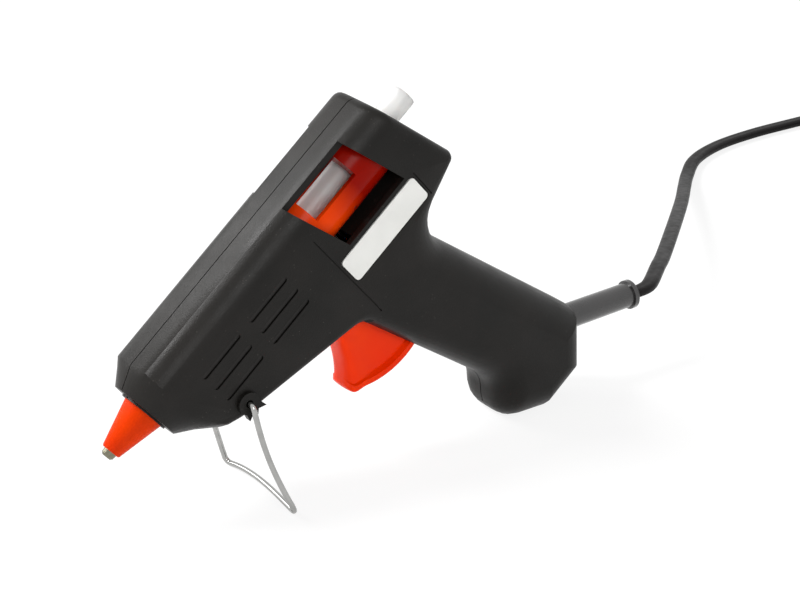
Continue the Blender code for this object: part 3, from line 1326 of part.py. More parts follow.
def coil_points():
    """Round and inwards on the floor, up at the middle, outwards on top, then off to the plug."""
    centre = coil_centre()
    pitch = coil_pitch()
    per_turn = 24
    inward = COIL_TURNS * per_turn
    climb = per_turn // 2
    points = [Vector(CORD_ROUTE[-1]) + Vector((-SEAT_GAP, 0, 0))]
    for k in range(2 * inward + climb + 1):
        into = min(k, inward)
        out = max(0, k - inward - climb)
        radius = coil_outer_radius() - pitch * into / per_turn + pitch * out / per_turn
        rise = min(1, max(0, (k - inward) / climb))
        radius -= pitch / 4 * math.sin(math.pi * rise)
        rise = rise * rise * (3 - 2 * rise)
        angle = -math.pi / 2 - math.tau * k / per_turn
        points.append(centre + Vector((radius * math.cos(angle), radius * math.sin(angle), pitch * rise)))
    leave = points[-1]
    drop = leave.z - plug_height()
    for k in range(1, 6):
        share = k / 5
        fall = min(1, share / 0.8)
        fall = fall * fall * (3 - 2 * fall)
        points.append(leave + Vector((COIL_TAIL * share, 0, -drop * fall)))
    return points


def plug_height():
    return PLUG_HALF_HEIGHT + TIE_GAP


def least_gap(points, radius):
    """Least clear distance between stretches of a tube that don't follow on each other."""
    dense = []
    for one, two in zip(points, points[1:]):
        for share in (0, 0.25, 0.5, 0.75):
            dense.append(one.lerp(two, share))
    places = np.array([tuple(p) for p in dense])
    along = np.concatenate([[0], np.cumsum(np.linalg.norm(np.diff(places, axis=0), axis=1))])
    least = math.inf
    for i in range(len(places)):
        far = along - along[i] > 8 * radius
        if far.any():
            least = min(least, np.linalg.norm(places[far] - places[i], axis=1).min())
    return least - 2 * radius


def cord_coil():
    points = coil_points()
    length = sum((b - a).length for a, b in zip(points, points[1:]))
    print(f"coil: least gap to itself {least_gap(points, CORD_RADIUS) * 1000:.2f} mm, length {length:.3f} m")
    tube("cord_coil", points, CORD_RADIUS, BLACK_RUBBER, 1)
    return points[-1]


def relief_end():
    """The middle of the strain relief's end, and the way it points, in floor places."""
    normal = exit_normal()
    turn = Matrix.Rotation(PITCH, 3, "Y")
    end = turn @ (relief_start() + normal * RELIEF_LENGTH)
    return end + Vector((0, 0, floor_drop())), turn @ normal


def cord_route():
    """The route, with its first points moved along with the strain relief's end."""
    end, way = relief_end()
    shift = end + way * CORD_START_GAP - Vector(CORD_ROUTE[0])
    return [Vector(point) + shift * max(0, 1 - i / CORD_FREE_POINTS) for i, point in enumerate(CORD_ROUTE)]


def floor_cord():
    points = smooth_route(cord_route(), 3 * CORD_RADIUS)
    length = sum((b - a).length for a, b in zip(points, points[1:]))
    print(f"cord: length {length:.3f} m")
    tube("cord", points, CORD_RADIUS, BLACK_RUBBER, 2)


def rounded_box_outline(low, high, radius, steps=4):
    corners = [(high[0] - radius, high[1] - radius, 0), (low[0] + radius, high[1] - radius, 90),
               (low[0] + radius, low[1] + radius, 180), (high[0] - radius, low[1] + radius, 270)]
    points = []
    for cx, cy, start in corners:
        for k in range(steps + 1):
            angle = math.radians(start + 90 * k / steps)
            points.append((cx + radius * math.cos(angle), cy + radius * math.sin(angle)))
    return points


def coil_tie():
    """A flat band round all the turns, on the far side of the coil."""
    centre = coil_centre()
    outer = coil_outer_radius() + CORD_RADIUS + TIE_GAP
    inner = COIL_INNER_RADIUS - coil_pitch() / 4 - CORD_RADIUS - 3 * TIE_GAP
    low = centre.z - CORD_RADIUS - TIE_GAP / 2
    high = centre.z + coil_pitch() + CORD_RADIUS + TIE_GAP
    thick = TIE_THICKNESS
    hollow = rounded_box_outline((centre.x - outer, low), (centre.x - inner, high), TIE_CORNER)
    band = rounded_box_outline((centre.x - outer - thick, low - thick), (centre.x - inner + thick, high + thick),
                               TIE_CORNER + thick)
    tie = prism("coil_tie", band, centre.y - TIE_WIDTH / 2, centre.y + TIE_WIDTH / 2, BLACK_RUBBER)
    cut(tie, prism("tie_room", hollow, centre.y - TIE_WIDTH, centre.y + TIE_WIDTH))


def plug(start):
    """Flat two-pin plug: a round neck that flares into a flat body, and two round pins."""
    neck = Vector(start) + Vector((SEAT_GAP, 0, 0))
    rear = neck.x + PLUG_NECK
    front = rear + PLUG_LENGTH
    outline = [(rear, -PLUG_REAR_HALF_WIDTH), (rear + PLUG_TAPER, -PLUG_HALF_WIDTH), (front, -PLUG_HALF_WIDTH),
               (front, PLUG_HALF_WIDTH), (rear + PLUG_TAPER, PLUG_HALF_WIDTH), (rear, PLUG_REAR_HALF_WIDTH)]
    bm = bmesh.new()
    low = [bm.verts.new((x, neck.y + y, neck.z - PLUG_HALF_HEIGHT)) for x, y in outline]
    high = [bm.verts.new((x, neck.y + y, neck.z + PLUG_HALF_HEIGHT)) for x, y in outline]
    count = len(outline)
    for i in range(count):
        j = (i + 1) % count
        bm.faces.new((low[i], low[j], high[j], high[i]))
    bm.faces.new(low[::-1])
    bm.faces.new(high)
    bmesh.ops.bevel(bm, geom=bm.edges[:], offset=PLUG_EDGE, segments=3, profile=0.5, affect="EDGES")
    body = new_object("plug_body", bm, BLACK_RUBBER)
    join(body, turned("neck", neck, (1, 0, 0),
                      [(0, PLUG_NECK_RADIUS * 0.9), (PLUG_NECK, PLUG_NECK_RADIUS),
                       (PLUG_NECK + PLUG_EDGE * 2, PLUG_NECK_RADIUS)], steps=20))
    for number, side in enumerate((-1, 1), 1):
        y = neck.y + side * PLUG_PIN_SPACING
        seat = front - PLUG_PIN_SEAT
        cut(body, rod("pin_seat", (seat - SEAT_GAP, y, neck.z), (front + OVERRUN, y, neck.z),
                      PLUG_PIN_RADIUS + PIN_GAP, steps=16))
        turned(f"plug_pin_{number}", (seat, y, neck.z), (1, 0, 0),
               [(0, PLUG_PIN_RADIUS), (PLUG_PIN_SEAT + PLUG_PIN_LENGTH - PLUG_PIN_RADIUS / 2, PLUG_PIN_RADIUS),
                (PLUG_PIN_SEAT + PLUG_PIN_LENGTH, PLUG_PIN_RADIUS / 2)], STEEL, 16)


def empty(name, location=(0, 0, 0), rotation=(0, 0, 0), parent=None):
    made = bpy.data.objects.new(name, None)
    bpy.context.scene.collection.objects.link(made)
    made.location = location
    made.rotation_euler = rotation
    made.parent = parent
    return made


def stand_on_floor(pieces):
    """Tip the gun onto the floor, with the middle of its length over the origin."""
    floor_origin = empty("floor_origin")
    stance = empty("stance", (0, 0, floor_drop()), (0, PITCH, 0), floor_origin)
    for obj in pieces:
        obj.parent = stance
    bpy.context.view_layer.update()
    depsgraph = bpy.context.evaluated_depsgraph_get()
    reach = []
    for obj in pieces:
        evaluated = obj.evaluated_get(depsgraph)
        mesh = evaluated.to_mesh()
        reach += [(evaluated.matrix_world @ vertex.co).x for vertex in mesh.vertices]
        evaluated.to_mesh_clear()
    floor_origin.location.x = -(min(reach) + max(reach)) / 2
    print(f"nozzle base over x {floor_origin.location.x:.6f}")
    return floor_origin


def build():
    clear_scene()
    left = housing("housing_left", 1)
    housing("housing_right", -1)
    housing_screws()
    hex_rear = nozzle_tip()
    nozzle_sleeve()
    melt_chamber(hex_rear)
    tails = heater_stack()
    heater_clip()
    stick_seal()
    glue_stick()
    feed_carriage()
    push_pin()
    grip_lever()
    trigger()
    return_spring()
    label_plate()
    stand_wire()
    strain_relief()
    posts, y_high = cord_clamp()
    add_clamp_posts(left, posts, y_high)
    inner_wiring(tails)
    gun = list(bpy.data.objects)
    floor_cord()
    plug(cord_coil())
    coil_tie()
    loose = [obj for obj in bpy.data.objects if obj not in gun]
    floor_origin = stand_on_floor(gun)
    for obj in loose:
        obj.parent = floor_origin
    bpy.context.view_layer.update()


build()
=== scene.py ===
"""Dress of a mini hot glue applicator: finer pieces, materials, floor, light and camera."""

import json
import math

import bmesh
import bpy
import numpy as np
from mathutils import Matrix, Vector


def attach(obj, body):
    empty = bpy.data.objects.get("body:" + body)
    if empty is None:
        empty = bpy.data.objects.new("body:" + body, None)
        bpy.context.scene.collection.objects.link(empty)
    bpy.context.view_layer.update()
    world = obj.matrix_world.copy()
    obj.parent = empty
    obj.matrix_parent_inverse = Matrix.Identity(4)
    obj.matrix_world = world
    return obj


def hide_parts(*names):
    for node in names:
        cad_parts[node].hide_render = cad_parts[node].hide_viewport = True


# The applicator stands nose down. Its own axes start at the nozzle's base:
# forward along the nozzle, left, and up across the barrel. All lengths are in metres.
TRIGGER_PIVOT = (-0.0585, 0.0, -0.0300)

# Camera, from the photograph's vanishing directions.
CAMERA_PLACE = (0.33254, 0.48048, 0.31256)
CAMERA_RIGHT = (-0.817222, 0.576305, -0.004544)
CAMERA_UP = (-0.243144, -0.337618, 0.909338)
CAMERA_LENS_MM = 105.02
CAMERA_SENSOR_MM = 36.0
CAMERA_NEAR = 0.01

# Floor, world and lamps.
FLOOR_HALF = 3.0
FLOOR_WHITE = 0.90
FLOOR_GLOW = 1.06
FLOOR_GLOW_SHARE = 0.80
WORLD_LIGHT = 0.36
LAMPS = (
    # name, place, target, size, watts
    ("key", (0.62, -0.36, 0.88), (0.0, 0.0, 0.06), 0.42, 14.0),
    ("rim", (0.48, -0.92, 0.58), (0.0, 0.0, 0.06), 0.50, 4.6),
    ("front", (0.30, 0.95, 0.60), (0.0, 0.0, 0.06), 0.45, 3.9),
)

# Cord: a flat twin lead.
CORD_WIDTH = 0.0048
CORD_THICKNESS = 0.0030
CORD_SIDES = 24
CORD_STEP = 0.0016
CORD_ROUTE_STEPS = 40
CORD_VALLEY_DEPTH = 0.13
CORD_VALLEY_WIDTH = 0.16
CORD_SQUARENESS = 0.62
CORD_SHIFT_X = 0.07664
CORD_ROUTE = (
    (-0.1666, 0.0, 0.0236),
    (-0.1700, 0.0, 0.0237),
    (-0.1732, -0.0008, 0.0238),
    (-0.1765, -0.0030, 0.0238),
    (-0.1805, -0.0064, 0.0234),
    (-0.1870, -0.0120, 0.0228),
    (-0.1961, -0.0199, 0.0213),
    (-0.2229, -0.0452, 0.0160),
    (-0.2500, -0.0716, 0.0094),
    (-0.2660, -0.0880, 0.0056),
    (-0.2800, -0.1020, 0.0034),
    (-0.2935, -0.1128, 0.0030),
    (-0.3100, -0.1188, 0.0030),
    (-0.3300, -0.1207, 0.0030),
    (-0.3520, -0.1200, 0.0030),
    (-0.3740, -0.1190, 0.0030),
    (-0.3900, -0.1189, 0.0030),
)
CORD_INSIDE = 0.0018
CORD_REST = 0.0030
CORD_SINK = 0.0009
COIL_X = -0.4000
COIL_INNER = 0.0194
COIL_PITCH = 0.0053
COIL_TURNS = 3
COIL_STEPS = 24
COIL_SPLINE_STEPS = 6
TAIL_LENGTH = 0.030
TAIL_STEPS = 5
TAIL_REST = 0.0072
TAIL_FALL_SHARE = 0.8
TWIST_LENGTH = 0.030

# Stand wire.
WIRE_RADIUS = 0.0008
WIRE_LEAN_DEG = 16.2
WIRE_PIN_END = 0.0086
WIRE_SHOULDER = 0.0148
WIRE_FOOT = 0.0180
WIRE_FOOT_SHIFT = 0.0010
WIRE_BEND = 0.0019
WIRE_BOW = 0.0011
WIRE_ARCH = 0.0011
WIRE_ARCH_SKEW = 0.45
WIRE_FOOT_SHARE = 0.9
WIRE_BEND_STEPS = 8
WIRE_STEP = 0.00048
WIRE_SIDES = 14

# Louvres in the vent slots, in the applicator's own axes.
SHELL_HALF = 0.0120
VENT_FRONTS = (0.0154, 0.0344)
VENT_LENGTH = 0.0148
VENT_WIDTH = 0.0016
VENT_PITCH = 0.0052
VENT_MIDDLE = 0.0009
VENT_CLEAR = 0.00008
VENT_OPEN = 0.00032
VENT_SINK = 0.00022
VENT_FLUSH = 0.00006
VENT_THICK = 0.0004
VENT_STEPS = 8
VENT_ROWS = 3

# Trigger, about its pivot.
TRIGGER_RADIUS = 0.0250
TRIGGER_INNER = 0.0046
TRIGGER_TOP = (0.0090, -0.0010)
TRIGGER_TIP = (0.0177, -0.0186)
TRIGGER_HOLLOW = (-0.0030, -0.0015)
TRIGGER_HALF = 0.0054
TRIGGER_CORE_HALF = 0.0040
TRIGGER_RIM = 0.0020
TRIGGER_STEP = 0.0006
TRIGGER_SWELL = 0.0080
TRIGGER_SWELL_SHARE = 0.5
TRIGGER_NOSE = 0.0024
TRIGGER_NOSE_STEPS = 12
TRIGGER_NOSE_POWER = 0.6
TRIGGER_FLANK_STEPS = 26
TRIGGER_FLANK_POWER = 1.6
TRIGGER_ROWS = 34
TRIGGER_ROW_POWER = 1.5
TRIGGER_FACE_STEPS = 40
TRIGGER_CROWN = 0.0017
TRIGGER_EDGE = 0.0006
TRIGGER_TIP_ROUND = 0.0020
TRIGGER_TIP_EXTRA = 0.0010
TRIGGER_REAR_DEG = 124.0
TRIGGER_FRONT_DEG = 50.0
TRIGGER_ARC_STEPS = 6
TRIGGER_ARC_CROWN = 0.0003
FORK_LEAN_DEG = 11.5
FORK_HALF = 0.0032
FORK_SLOT = 0.0015
FORK_FOOT = 0.01606
FORK_REACH = 0.01956
FORK_INSIDE = 0.0027
FORK_THICK = 0.0024
BOSS_RADIUS = 0.0044
BOSS_SIDES = 32

# Meshes: edges sharper than the angle stay sharp, points nearer than the weld become one, and
# a line steeper than the last value has no level side of its own.
SMOOTH_ANGLE_DEG = 32.0
WELD = 0.000002
LEAST_ACROSS = 1e-4

# Materials: the two ranges of a noise that are spread out to 0 to 1, then scales and shares.
NARROW = (0.35, 0.65)
WIDE = (0.3, 0.7)
PATCH_SCALE = 55.0
ROUGH_SCALE = 120.0
ROUGH_SPREAD = 0.05
GRAIN_SCALE = 3300.0
# Where the carriage's painted shade lies along the barrel: dark red behind the first place, full
# orange in front of the second.
CARRIAGE_PAINTED_SHADE = (-0.080, -0.068)
METAL_PATCH_SCALE = 260.0
METAL_GRAIN_SCALE = 2400.0
METAL_GRAIN = 0.000006
METAL_WEAR = 0.06
METAL_DARKER = 0.8
SPECK_SCALE = 900.0
SPECK_SIZE = 0.16
SPECK_CORE = 0.5
SPECK_CHOICE_SCALE = 0.37
SPECK_CHOICE = (0.60, 0.66)

# The Mix node's colour inputs and its colour output, by number.
COLOUR_SOCKETS = (6, 7)
COLOUR_RESULT = 2


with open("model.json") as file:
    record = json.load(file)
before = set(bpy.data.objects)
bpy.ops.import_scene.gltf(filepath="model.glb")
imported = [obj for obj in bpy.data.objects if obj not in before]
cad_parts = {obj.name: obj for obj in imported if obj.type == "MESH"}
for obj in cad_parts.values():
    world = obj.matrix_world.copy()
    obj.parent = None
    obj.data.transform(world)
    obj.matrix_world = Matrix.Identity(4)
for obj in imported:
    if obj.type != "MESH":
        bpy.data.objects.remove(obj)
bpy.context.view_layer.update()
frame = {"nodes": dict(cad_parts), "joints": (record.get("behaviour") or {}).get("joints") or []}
JOINTS = {joint["name"]: joint for joint in frame["joints"]}
FORWARD = Vector(JOINTS["carriage_feed"]["axis"]).normalized()
LEFT = Vector((0.0, 1.0, 0.0))
UP = FORWARD.cross(LEFT)


def gun_base():
    """The nozzle's base, found from the trigger's pivot."""
    pivot = Vector(JOINTS["trigger_pull"]["pos_m"])
    return pivot - FORWARD * TRIGGER_PIVOT[0] - UP * TRIGGER_PIVOT[2]


BASE = gun_base()


def place(x, y, z):
    """A point of the applicator's own axes, in the frame."""
    return BASE + FORWARD * x + LEFT * y + UP * z


# Help with meshes


def new_mesh(name, points, faces, look, smooth=True):
    """A new object in the scene with one look."""
    data = bpy.data.meshes.new(name)
    data.from_pydata([tuple(p) for p in points], [], faces)
    data.validate()
    obj = bpy.data.objects.new(name, data)
    bpy.context.scene.collection.objects.link(obj)
    for face in data.polygons:
        face.use_smooth = smooth
    data.materials.append(look)
    return obj


def smooth_step(share):
    """0 up to 0, 1 from 1 on, and an even S between."""
    share = min(max(share, 0.0), 1.0)
    return share * share * (3.0 - 2.0 * share)


def spline_through(points, steps):
    """A Catmull-Rom curve through the points."""
    points = [Vector(p) for p in points]
    padded = [2 * points[0] - points[1]] + points + [2 * points[-1] - points[-2]]
    curve = []
    for i in range(1, len(padded) - 2):
        a, b, c, d = padded[i - 1:i + 3]
        for k in range(steps):
            t = k / steps
            curve.append(0.5 * (2 * b + (c - a) * t + (2 * a - 5 * b + 4 * c - d) * t ** 2
                                + (3 * b - a - 3 * c + d) * t ** 3))
    return curve + [points[-1]]


def lengths_along(points):
    """How far along the line each point lies."""
    along = [0.0]
    for a, b in zip(points, points[1:]):
        along.append(along[-1] + (b - a).length)
    return along


def resample(points, spacing):
    """The same line with even steps."""
    along = lengths_along(points)
    count = max(2, round(along[-1] / spacing))
    wanted = np.linspace(0.0, along[-1], count + 1)
    columns = [np.interp(wanted, along, [p[axis] for p in points]) for axis in range(3)]
    return [Vector(p) for p in zip(*columns)]


def directions(points):
    """The unit direction of the line at each of its points."""
    last = len(points) - 1
    return [(points[min(i + 1, last)] - points[max(i - 1, 0)]).normalized()
            for i in range(last + 1)]


def ring_faces(rings, sides):
    """The faces between closed rings of sides points each."""
    faces = []
    for i in range(rings - 1):
        for k in range(sides):
            a = i * sides + k
            b = i * sides + (k + 1) % sides
            faces.append((a, b, b + sides, a + sides))
    return faces


def sweep(name, points, section, turn_at, look):
    """A closed tube along points.

    section lists (across, over), and turn_at(i) rolls it about the line.
    """
    verts = []
    sides = len(section)
    for i, (point, along) in enumerate(zip(points, directions(points))):
        across = along.cross(Vector((0, 0, 1)))
        across = across.normalized() if across.length > LEAST_ACROSS else LEFT.copy()
        roll = Matrix.Rotation(turn_at(i), 3, along)
        across = roll @ across
        over = across.cross(along)
        verts += [point + across * u + over * v for u, v in section]
    faces = ring_faces(len(points), sides)
    faces.append(tuple(reversed(range(sides))))
    faces.append(tuple(range((len(points) - 1) * sides, len(points) * sides)))
    obj = new_mesh(name, verts, faces, look)
    obj.data.polygons[-1].use_smooth = False
    obj.data.polygons[-2].use_smooth = False
    return obj


def round_section(radius, sides):
    """A circle as (across, over) points."""
    angles = [2 * math.pi * k / sides for k in range(sides)]
    return [(radius * math.cos(angle), radius * math.sin(angle)) for angle in angles]


def round_corners(points, radius, steps):
    """The polyline with each inner corner turned into an arc."""
    points = [Vector(p) for p in points]
    path = [points[0]]
    for before, corner, after in zip(points, points[1:], points[2:]):
        back = (before - corner).normalized()
        ahead = (after - corner).normalized()
        half = back.angle(ahead) / 2
        reach = radius / math.tan(half)
        centre = corner + (back + ahead).normalized() * (radius / math.sin(half))
        start = corner + back * reach - centre
        end = corner + ahead * reach - centre
        swing = start.angle(end)
        for k in range(steps + 1):
            share = k / steps
            spoke = start * math.sin((1 - share) * swing) + end * math.sin(share * swing)
            path.append(centre + spoke / math.sin(swing))
    return path + [points[-1]]


def wall_faces(count):
    """Two caps of count points each, and the wall between them."""
    faces = [tuple(range(count)), tuple(range(2 * count - 1, count - 1, -1))]
    faces += [(i, i + count, (i + 1) % count + count, (i + 1) % count) for i in range(count)]
    return faces


def joined(parts):
    """Several (points, faces) lists as one, placed in the frame from the applicator's own axes."""
    verts = []
    faces = []
    for part_verts, part_faces in parts:
        first = len(verts)
        verts += [place(*p) for p in part_verts]
        faces += [tuple(first + i for i in face) for face in part_faces]
    return verts, faces


def face_out(obj):
    """Weld the mesh and turn its faces outwards."""
    bm = bmesh.new()
    bm.from_mesh(obj.data)
    bmesh.ops.remove_doubles(bm, verts=bm.verts, dist=WELD)
    bmesh.ops.recalc_face_normals(bm, faces=bm.faces)
    bm.to_mesh(obj.data)
    bm.free()


# Materials


def shade(red, green, blue):
    """A colour as seen on a screen, turned into the shader's linear colour."""
    def linear(value):
        value = value / 255
        return value / 12.92 if value <= 0.04045 else ((value + 0.055) / 1.055) ** 2.4
    return (linear(red), linear(green), linear(blue), 1.0)


class Look:
    """A Principled material with small helpers for its nodes."""

    def __init__(self, name, roughness, metallic=0.0, specular=0.5):
        self.material = bpy.data.materials.new(name)
        self.material.use_nodes = True
        self.nodes = self.material.node_tree.nodes
        self.links = self.material.node_tree.links
        self.shader = self.nodes["Principled BSDF"]
        self.set("Roughness", roughness)
        self.set("Metallic", metallic)
        self.set("Specular IOR Level", specular)
        self.coordinates = self.nodes.new("ShaderNodeTexCoord").outputs["Object"]
        self.last_bump = None

    def set(self, socket, value):
        self.shader.inputs[socket].default_value = value

    def noise(self, scale, detail=3.0, stretch=None):
        source = self.coordinates
        if stretch:
            mapping = self.nodes.new("ShaderNodeMapping")
            mapping.inputs["Scale"].default_value = stretch
            self.links.new(source, mapping.inputs["Vector"])
            source = mapping.outputs["Vector"]
        node = self.nodes.new("ShaderNodeTexNoise")
        node.inputs["Scale"].default_value = scale
        node.inputs["Detail"].default_value = detail
        self.links.new(source, node.inputs["Vector"])
        return node.outputs["Fac"]

    def along_barrel(self, rear, front):
        """0 behind the rear place on the barrel's axis, 1 before the front one."""
        node = self.nodes.new("ShaderNodeVectorMath")
        node.operation = "DOT_PRODUCT"
        node.inputs[1].default_value = FORWARD
        self.links.new(self.coordinates, node.inputs[0])
        start = BASE.dot(FORWARD)
        return self.remap(node.outputs["Value"], start + rear, start + front)

    def specks(self, scale, size):
        """Small sparse spots: 1 inside a spot, 0 outside."""
        cells = self.nodes.new("ShaderNodeTexVoronoi")
        cells.inputs["Scale"].default_value = scale
        self.links.new(self.coordinates, cells.inputs["Vector"])
        spot = self.remap(cells.outputs["Distance"], size, size * SPECK_CORE)
        chosen = self.remap(self.noise(scale * SPECK_CHOICE_SCALE, 0.0), *SPECK_CHOICE)
        return self.maths("MULTIPLY", spot, chosen)

    def remap(self, source, low, high, to_low=0.0, to_high=1.0):
        node = self.nodes.new("ShaderNodeMapRange")
        self.links.new(source, node.inputs["Value"])
        for socket, value in (("From Min", low), ("From Max", high),
                              ("To Min", to_low), ("To Max", to_high)):
            node.inputs[socket].default_value = value
        return node.outputs["Result"]

    def maths(self, operation, a, b):
        node = self.nodes.new("ShaderNodeMath")
        node.operation = operation
        for socket, value in zip(node.inputs, (a, b)):
            if isinstance(value, (int, float)):
                socket.default_value = value
            else:
                self.links.new(value, socket)
        return node.outputs["Value"]

    def mix(self, share, a, b):
        node = self.nodes.new("ShaderNodeMix")
        node.data_type = "RGBA"
        self.links.new(share, node.inputs["Factor"])
        for number, value in zip(COLOUR_SOCKETS, (a, b)):
            if isinstance(value, tuple):
                node.inputs[number].default_value = value
            else:
                self.links.new(value, node.inputs[number])
        return node.outputs[COLOUR_RESULT]

    def patches(self, scale, dark, light):
        """Soft patches of two close colours."""
        return self.mix(self.remap(self.noise(scale), *NARROW), dark, light)

    def uneven_roughness(self, scale, low, high):
        self.feed("Roughness", self.remap(self.noise(scale), *WIDE, low, high))

    def feed(self, socket, source):
        self.links.new(source, self.shader.inputs[socket])

    def bump(self, height, distance):
        """Relief of some depth, on top of the relief already there."""
        node = self.nodes.new("ShaderNodeBump")
        node.inputs["Distance"].default_value = distance
        self.links.new(height, node.inputs["Height"])
        if self.last_bump:
            self.links.new(self.last_bump, node.inputs["Normal"])
        self.last_bump = node.outputs["Normal"]
        self.links.new(self.last_bump, self.shader.inputs["Normal"])


def moulded(name, dark, light, roughness, specular, grain, specks=0.0, dust=None):
    """Moulded plastic: soft patches, fine grain, and for some a few pale specks of dust."""
    look = Look(name, roughness, specular=specular)
    colour = look.patches(PATCH_SCALE, dark, light)
    if specks:
        spots = look.maths("MULTIPLY", look.specks(SPECK_SCALE, SPECK_SIZE), specks)
        colour = look.mix(spots, colour, dust)
    look.feed("Base Color", colour)
    look.uneven_roughness(ROUGH_SCALE, roughness - ROUGH_SPREAD, roughness + ROUGH_SPREAD)
    look.bump(look.noise(GRAIN_SCALE, 1.0), grain)
    return look.material


def shell_plastic():
    return moulded("shell_plastic", shade(21, 20, 18), shade(28, 26, 24), 0.40, 0.16,
                   grain=0.00006, specks=0.25, dust=shade(110, 106, 100))


def orange_plastic():
    return moulded("orange_plastic", shade(241, 48, 0), shade(248, 58, 0), 0.17, 0.09,
                   grain=0.000004)


def carriage_plastic_painted_shade():
    """The carriage's orange, with painted shade: deeper and redder towards its rear."""
    look = Look("carriage_plastic_painted_shade", 0.22, specular=0.06)
    orange = look.patches(PATCH_SCALE, shade(238, 62, 2), shade(246, 74, 6))
    # Painted shade: the orange turns dark red towards the carriage's rear, standing in for the
    # shade it lies in inside the housing.
    ahead = look.along_barrel(*CARRIAGE_PAINTED_SHADE)
    look.feed("Base Color", look.mix(ahead, shade(138, 12, 0), orange))
    look.bump(look.noise(GRAIN_SCALE, 1.0), 0.000004)
    return look.material


def orange_silicone():
    look = Look("orange_silicone", 0.44, specular=0.05)
    look.feed("Base Color", look.patches(90.0, shade(194, 44, 0), shade(206, 54, 0)))
    look.bump(look.noise(1800.0, 2.0), 0.00002)
    return look.material


def metal(name, colour, roughness, streaks=None):
    """Metal with darker, rougher patches, drawn out into streaks where wanted."""
    look = Look(name, roughness, metallic=1.0)
    tone = look.remap(look.noise(METAL_PATCH_SCALE, 4.0, streaks), *WIDE)
    darker = tuple(METAL_DARKER * part for part in colour[:3]) + (1.0,)
    look.feed("Base Color", look.mix(tone, darker, colour))
    worn = look.remap(tone, 0.0, 1.0, roughness + METAL_WEAR, roughness - METAL_WEAR)
    look.feed("Roughness", worn)
    look.bump(look.noise(METAL_GRAIN_SCALE, 2.0, streaks), METAL_GRAIN)
    return look.material


def glue():
    look = Look("glue_stick", 0.34, specular=0.45)
    look.feed("Base Color", look.patches(80.0, shade(230, 229, 227), shade(240, 239, 237)))
    look.set("Subsurface Weight", 0.5)
    look.set("Subsurface Radius", (1.0, 0.9, 0.85))
    look.set("Subsurface Scale", 0.006)
    look.set("Transmission Weight", 0.45)
    look.set("IOR", 1.3)
    look.bump(look.noise(700.0, 2.0), 0.00002)
    return look.material


def label_white():
    look = Look("label_white", 0.38, specular=0.45)
    look.feed("Base Color", look.patches(70.0, shade(226, 226, 222), shade(234, 234, 230)))
    look.bump(look.noise(2600.0, 1.0), 0.000008)
    return look.material


def cord_jacket():
    look = Look("cord_jacket", 0.42, specular=0.12)
    look.feed("Base Color", look.patches(60.0, shade(14, 13, 13), shade(22, 20, 20)))
    look.uneven_roughness(400.0, 0.36, 0.48)
    look.bump(look.noise(420.0, 2.0), 0.00006)
    return look.material


def relief_rubber():
    look = Look("relief_rubber", 0.30, specular=0.60)
    look.feed("Base Color", look.patches(90.0, shade(22, 21, 21), shade(34, 32, 32)))
    look.uneven_roughness(300.0, 0.26, 0.34)
    look.set("Coat Weight", 0.6)
    look.set("Coat Roughness", 0.22)
    look.bump(look.noise(900.0, 2.0), 0.00003)
    return look.material


def plain_matte(name, dark, light, roughness=0.6):
    return moulded(name, dark, light, roughness, 0.35, grain=0.00001)


def floor_white():
    """Pale floor: white to the camera and in reflections, and it keeps the shadow."""
    material = bpy.data.materials.new("floor_white")
    material.use_nodes = True
    nodes = material.node_tree.nodes
    links = material.node_tree.links
    nodes.clear()
    diffuse = nodes.new("ShaderNodeBsdfDiffuse")
    diffuse.inputs["Color"].default_value = (FLOOR_WHITE, FLOOR_WHITE, FLOOR_WHITE, 1.0)
    glow = nodes.new("ShaderNodeEmission")
    glow.inputs["Strength"].default_value = FLOOR_GLOW
    mixed = nodes.new("ShaderNodeMixShader")
    share = nodes.new("ShaderNodeMath")
    share.operation = "MULTIPLY"
    share.inputs[1].default_value = FLOOR_GLOW_SHARE
    links.new(seen_directly(nodes, links), share.inputs[0])
    links.new(share.outputs["Value"], mixed.inputs["Fac"])
    links.new(diffuse.outputs["BSDF"], mixed.inputs[1])
    links.new(glow.outputs["Emission"], mixed.inputs[2])
    links.new(mixed.outputs["Shader"], nodes.new("ShaderNodeOutputMaterial").inputs["Surface"])
    return material


def seen_directly(nodes, links):
    """1 on rays from the camera and on glossy or transmitted rays."""
    path = nodes.new("ShaderNodeLightPath")
    total = path.outputs["Is Camera Ray"]
    for name in ("Is Glossy Ray", "Is Transmission Ray"):
        either = nodes.new("ShaderNodeMath")
        either.operation = "MAXIMUM"
        links.new(total, either.inputs[0])
        links.new(path.outputs[name], either.inputs[1])
        total = either.outputs["Value"]
    return total


# Stage


def make_camera():
    right = Vector(CAMERA_RIGHT).normalized()
    up = Vector(CAMERA_UP).normalized()
    back = right.cross(up)
    data = bpy.data.cameras.new("camera")
    data.lens = CAMERA_LENS_MM
    data.sensor_width = CAMERA_SENSOR_MM
    data.clip_start = CAMERA_NEAR
    camera = bpy.data.objects.new("camera", data)
    turn = Matrix((right, up, back)).transposed().to_4x4()
    camera.matrix_world = Matrix.Translation(CAMERA_PLACE) @ turn
    bpy.context.scene.collection.objects.link(camera)
    bpy.context.scene.camera = camera


def make_floor():
    corners = [(x * FLOOR_HALF, y * FLOOR_HALF, 0.0)
               for x, y in ((-1, -1), (1, -1), (1, 1), (-1, 1))]
    floor = new_mesh("floor", corners, [(0, 1, 2, 3)], floor_white(), smooth=False)


def make_world():
    world = bpy.data.worlds.new("studio")
    world.use_nodes = True
    nodes = world.node_tree.nodes
    links = world.node_tree.links
    background = nodes["Background"]
    strength = nodes.new("ShaderNodeMapRange")
    strength.inputs["To Min"].default_value = WORLD_LIGHT
    strength.inputs["To Max"].default_value = 1.0
    links.new(seen_directly(nodes, links), strength.inputs["Value"])
    links.new(strength.outputs["Result"], background.inputs["Strength"])
    background.inputs["Color"].default_value = (1.0, 1.0, 1.0, 1.0)
    bpy.context.scene.world = world


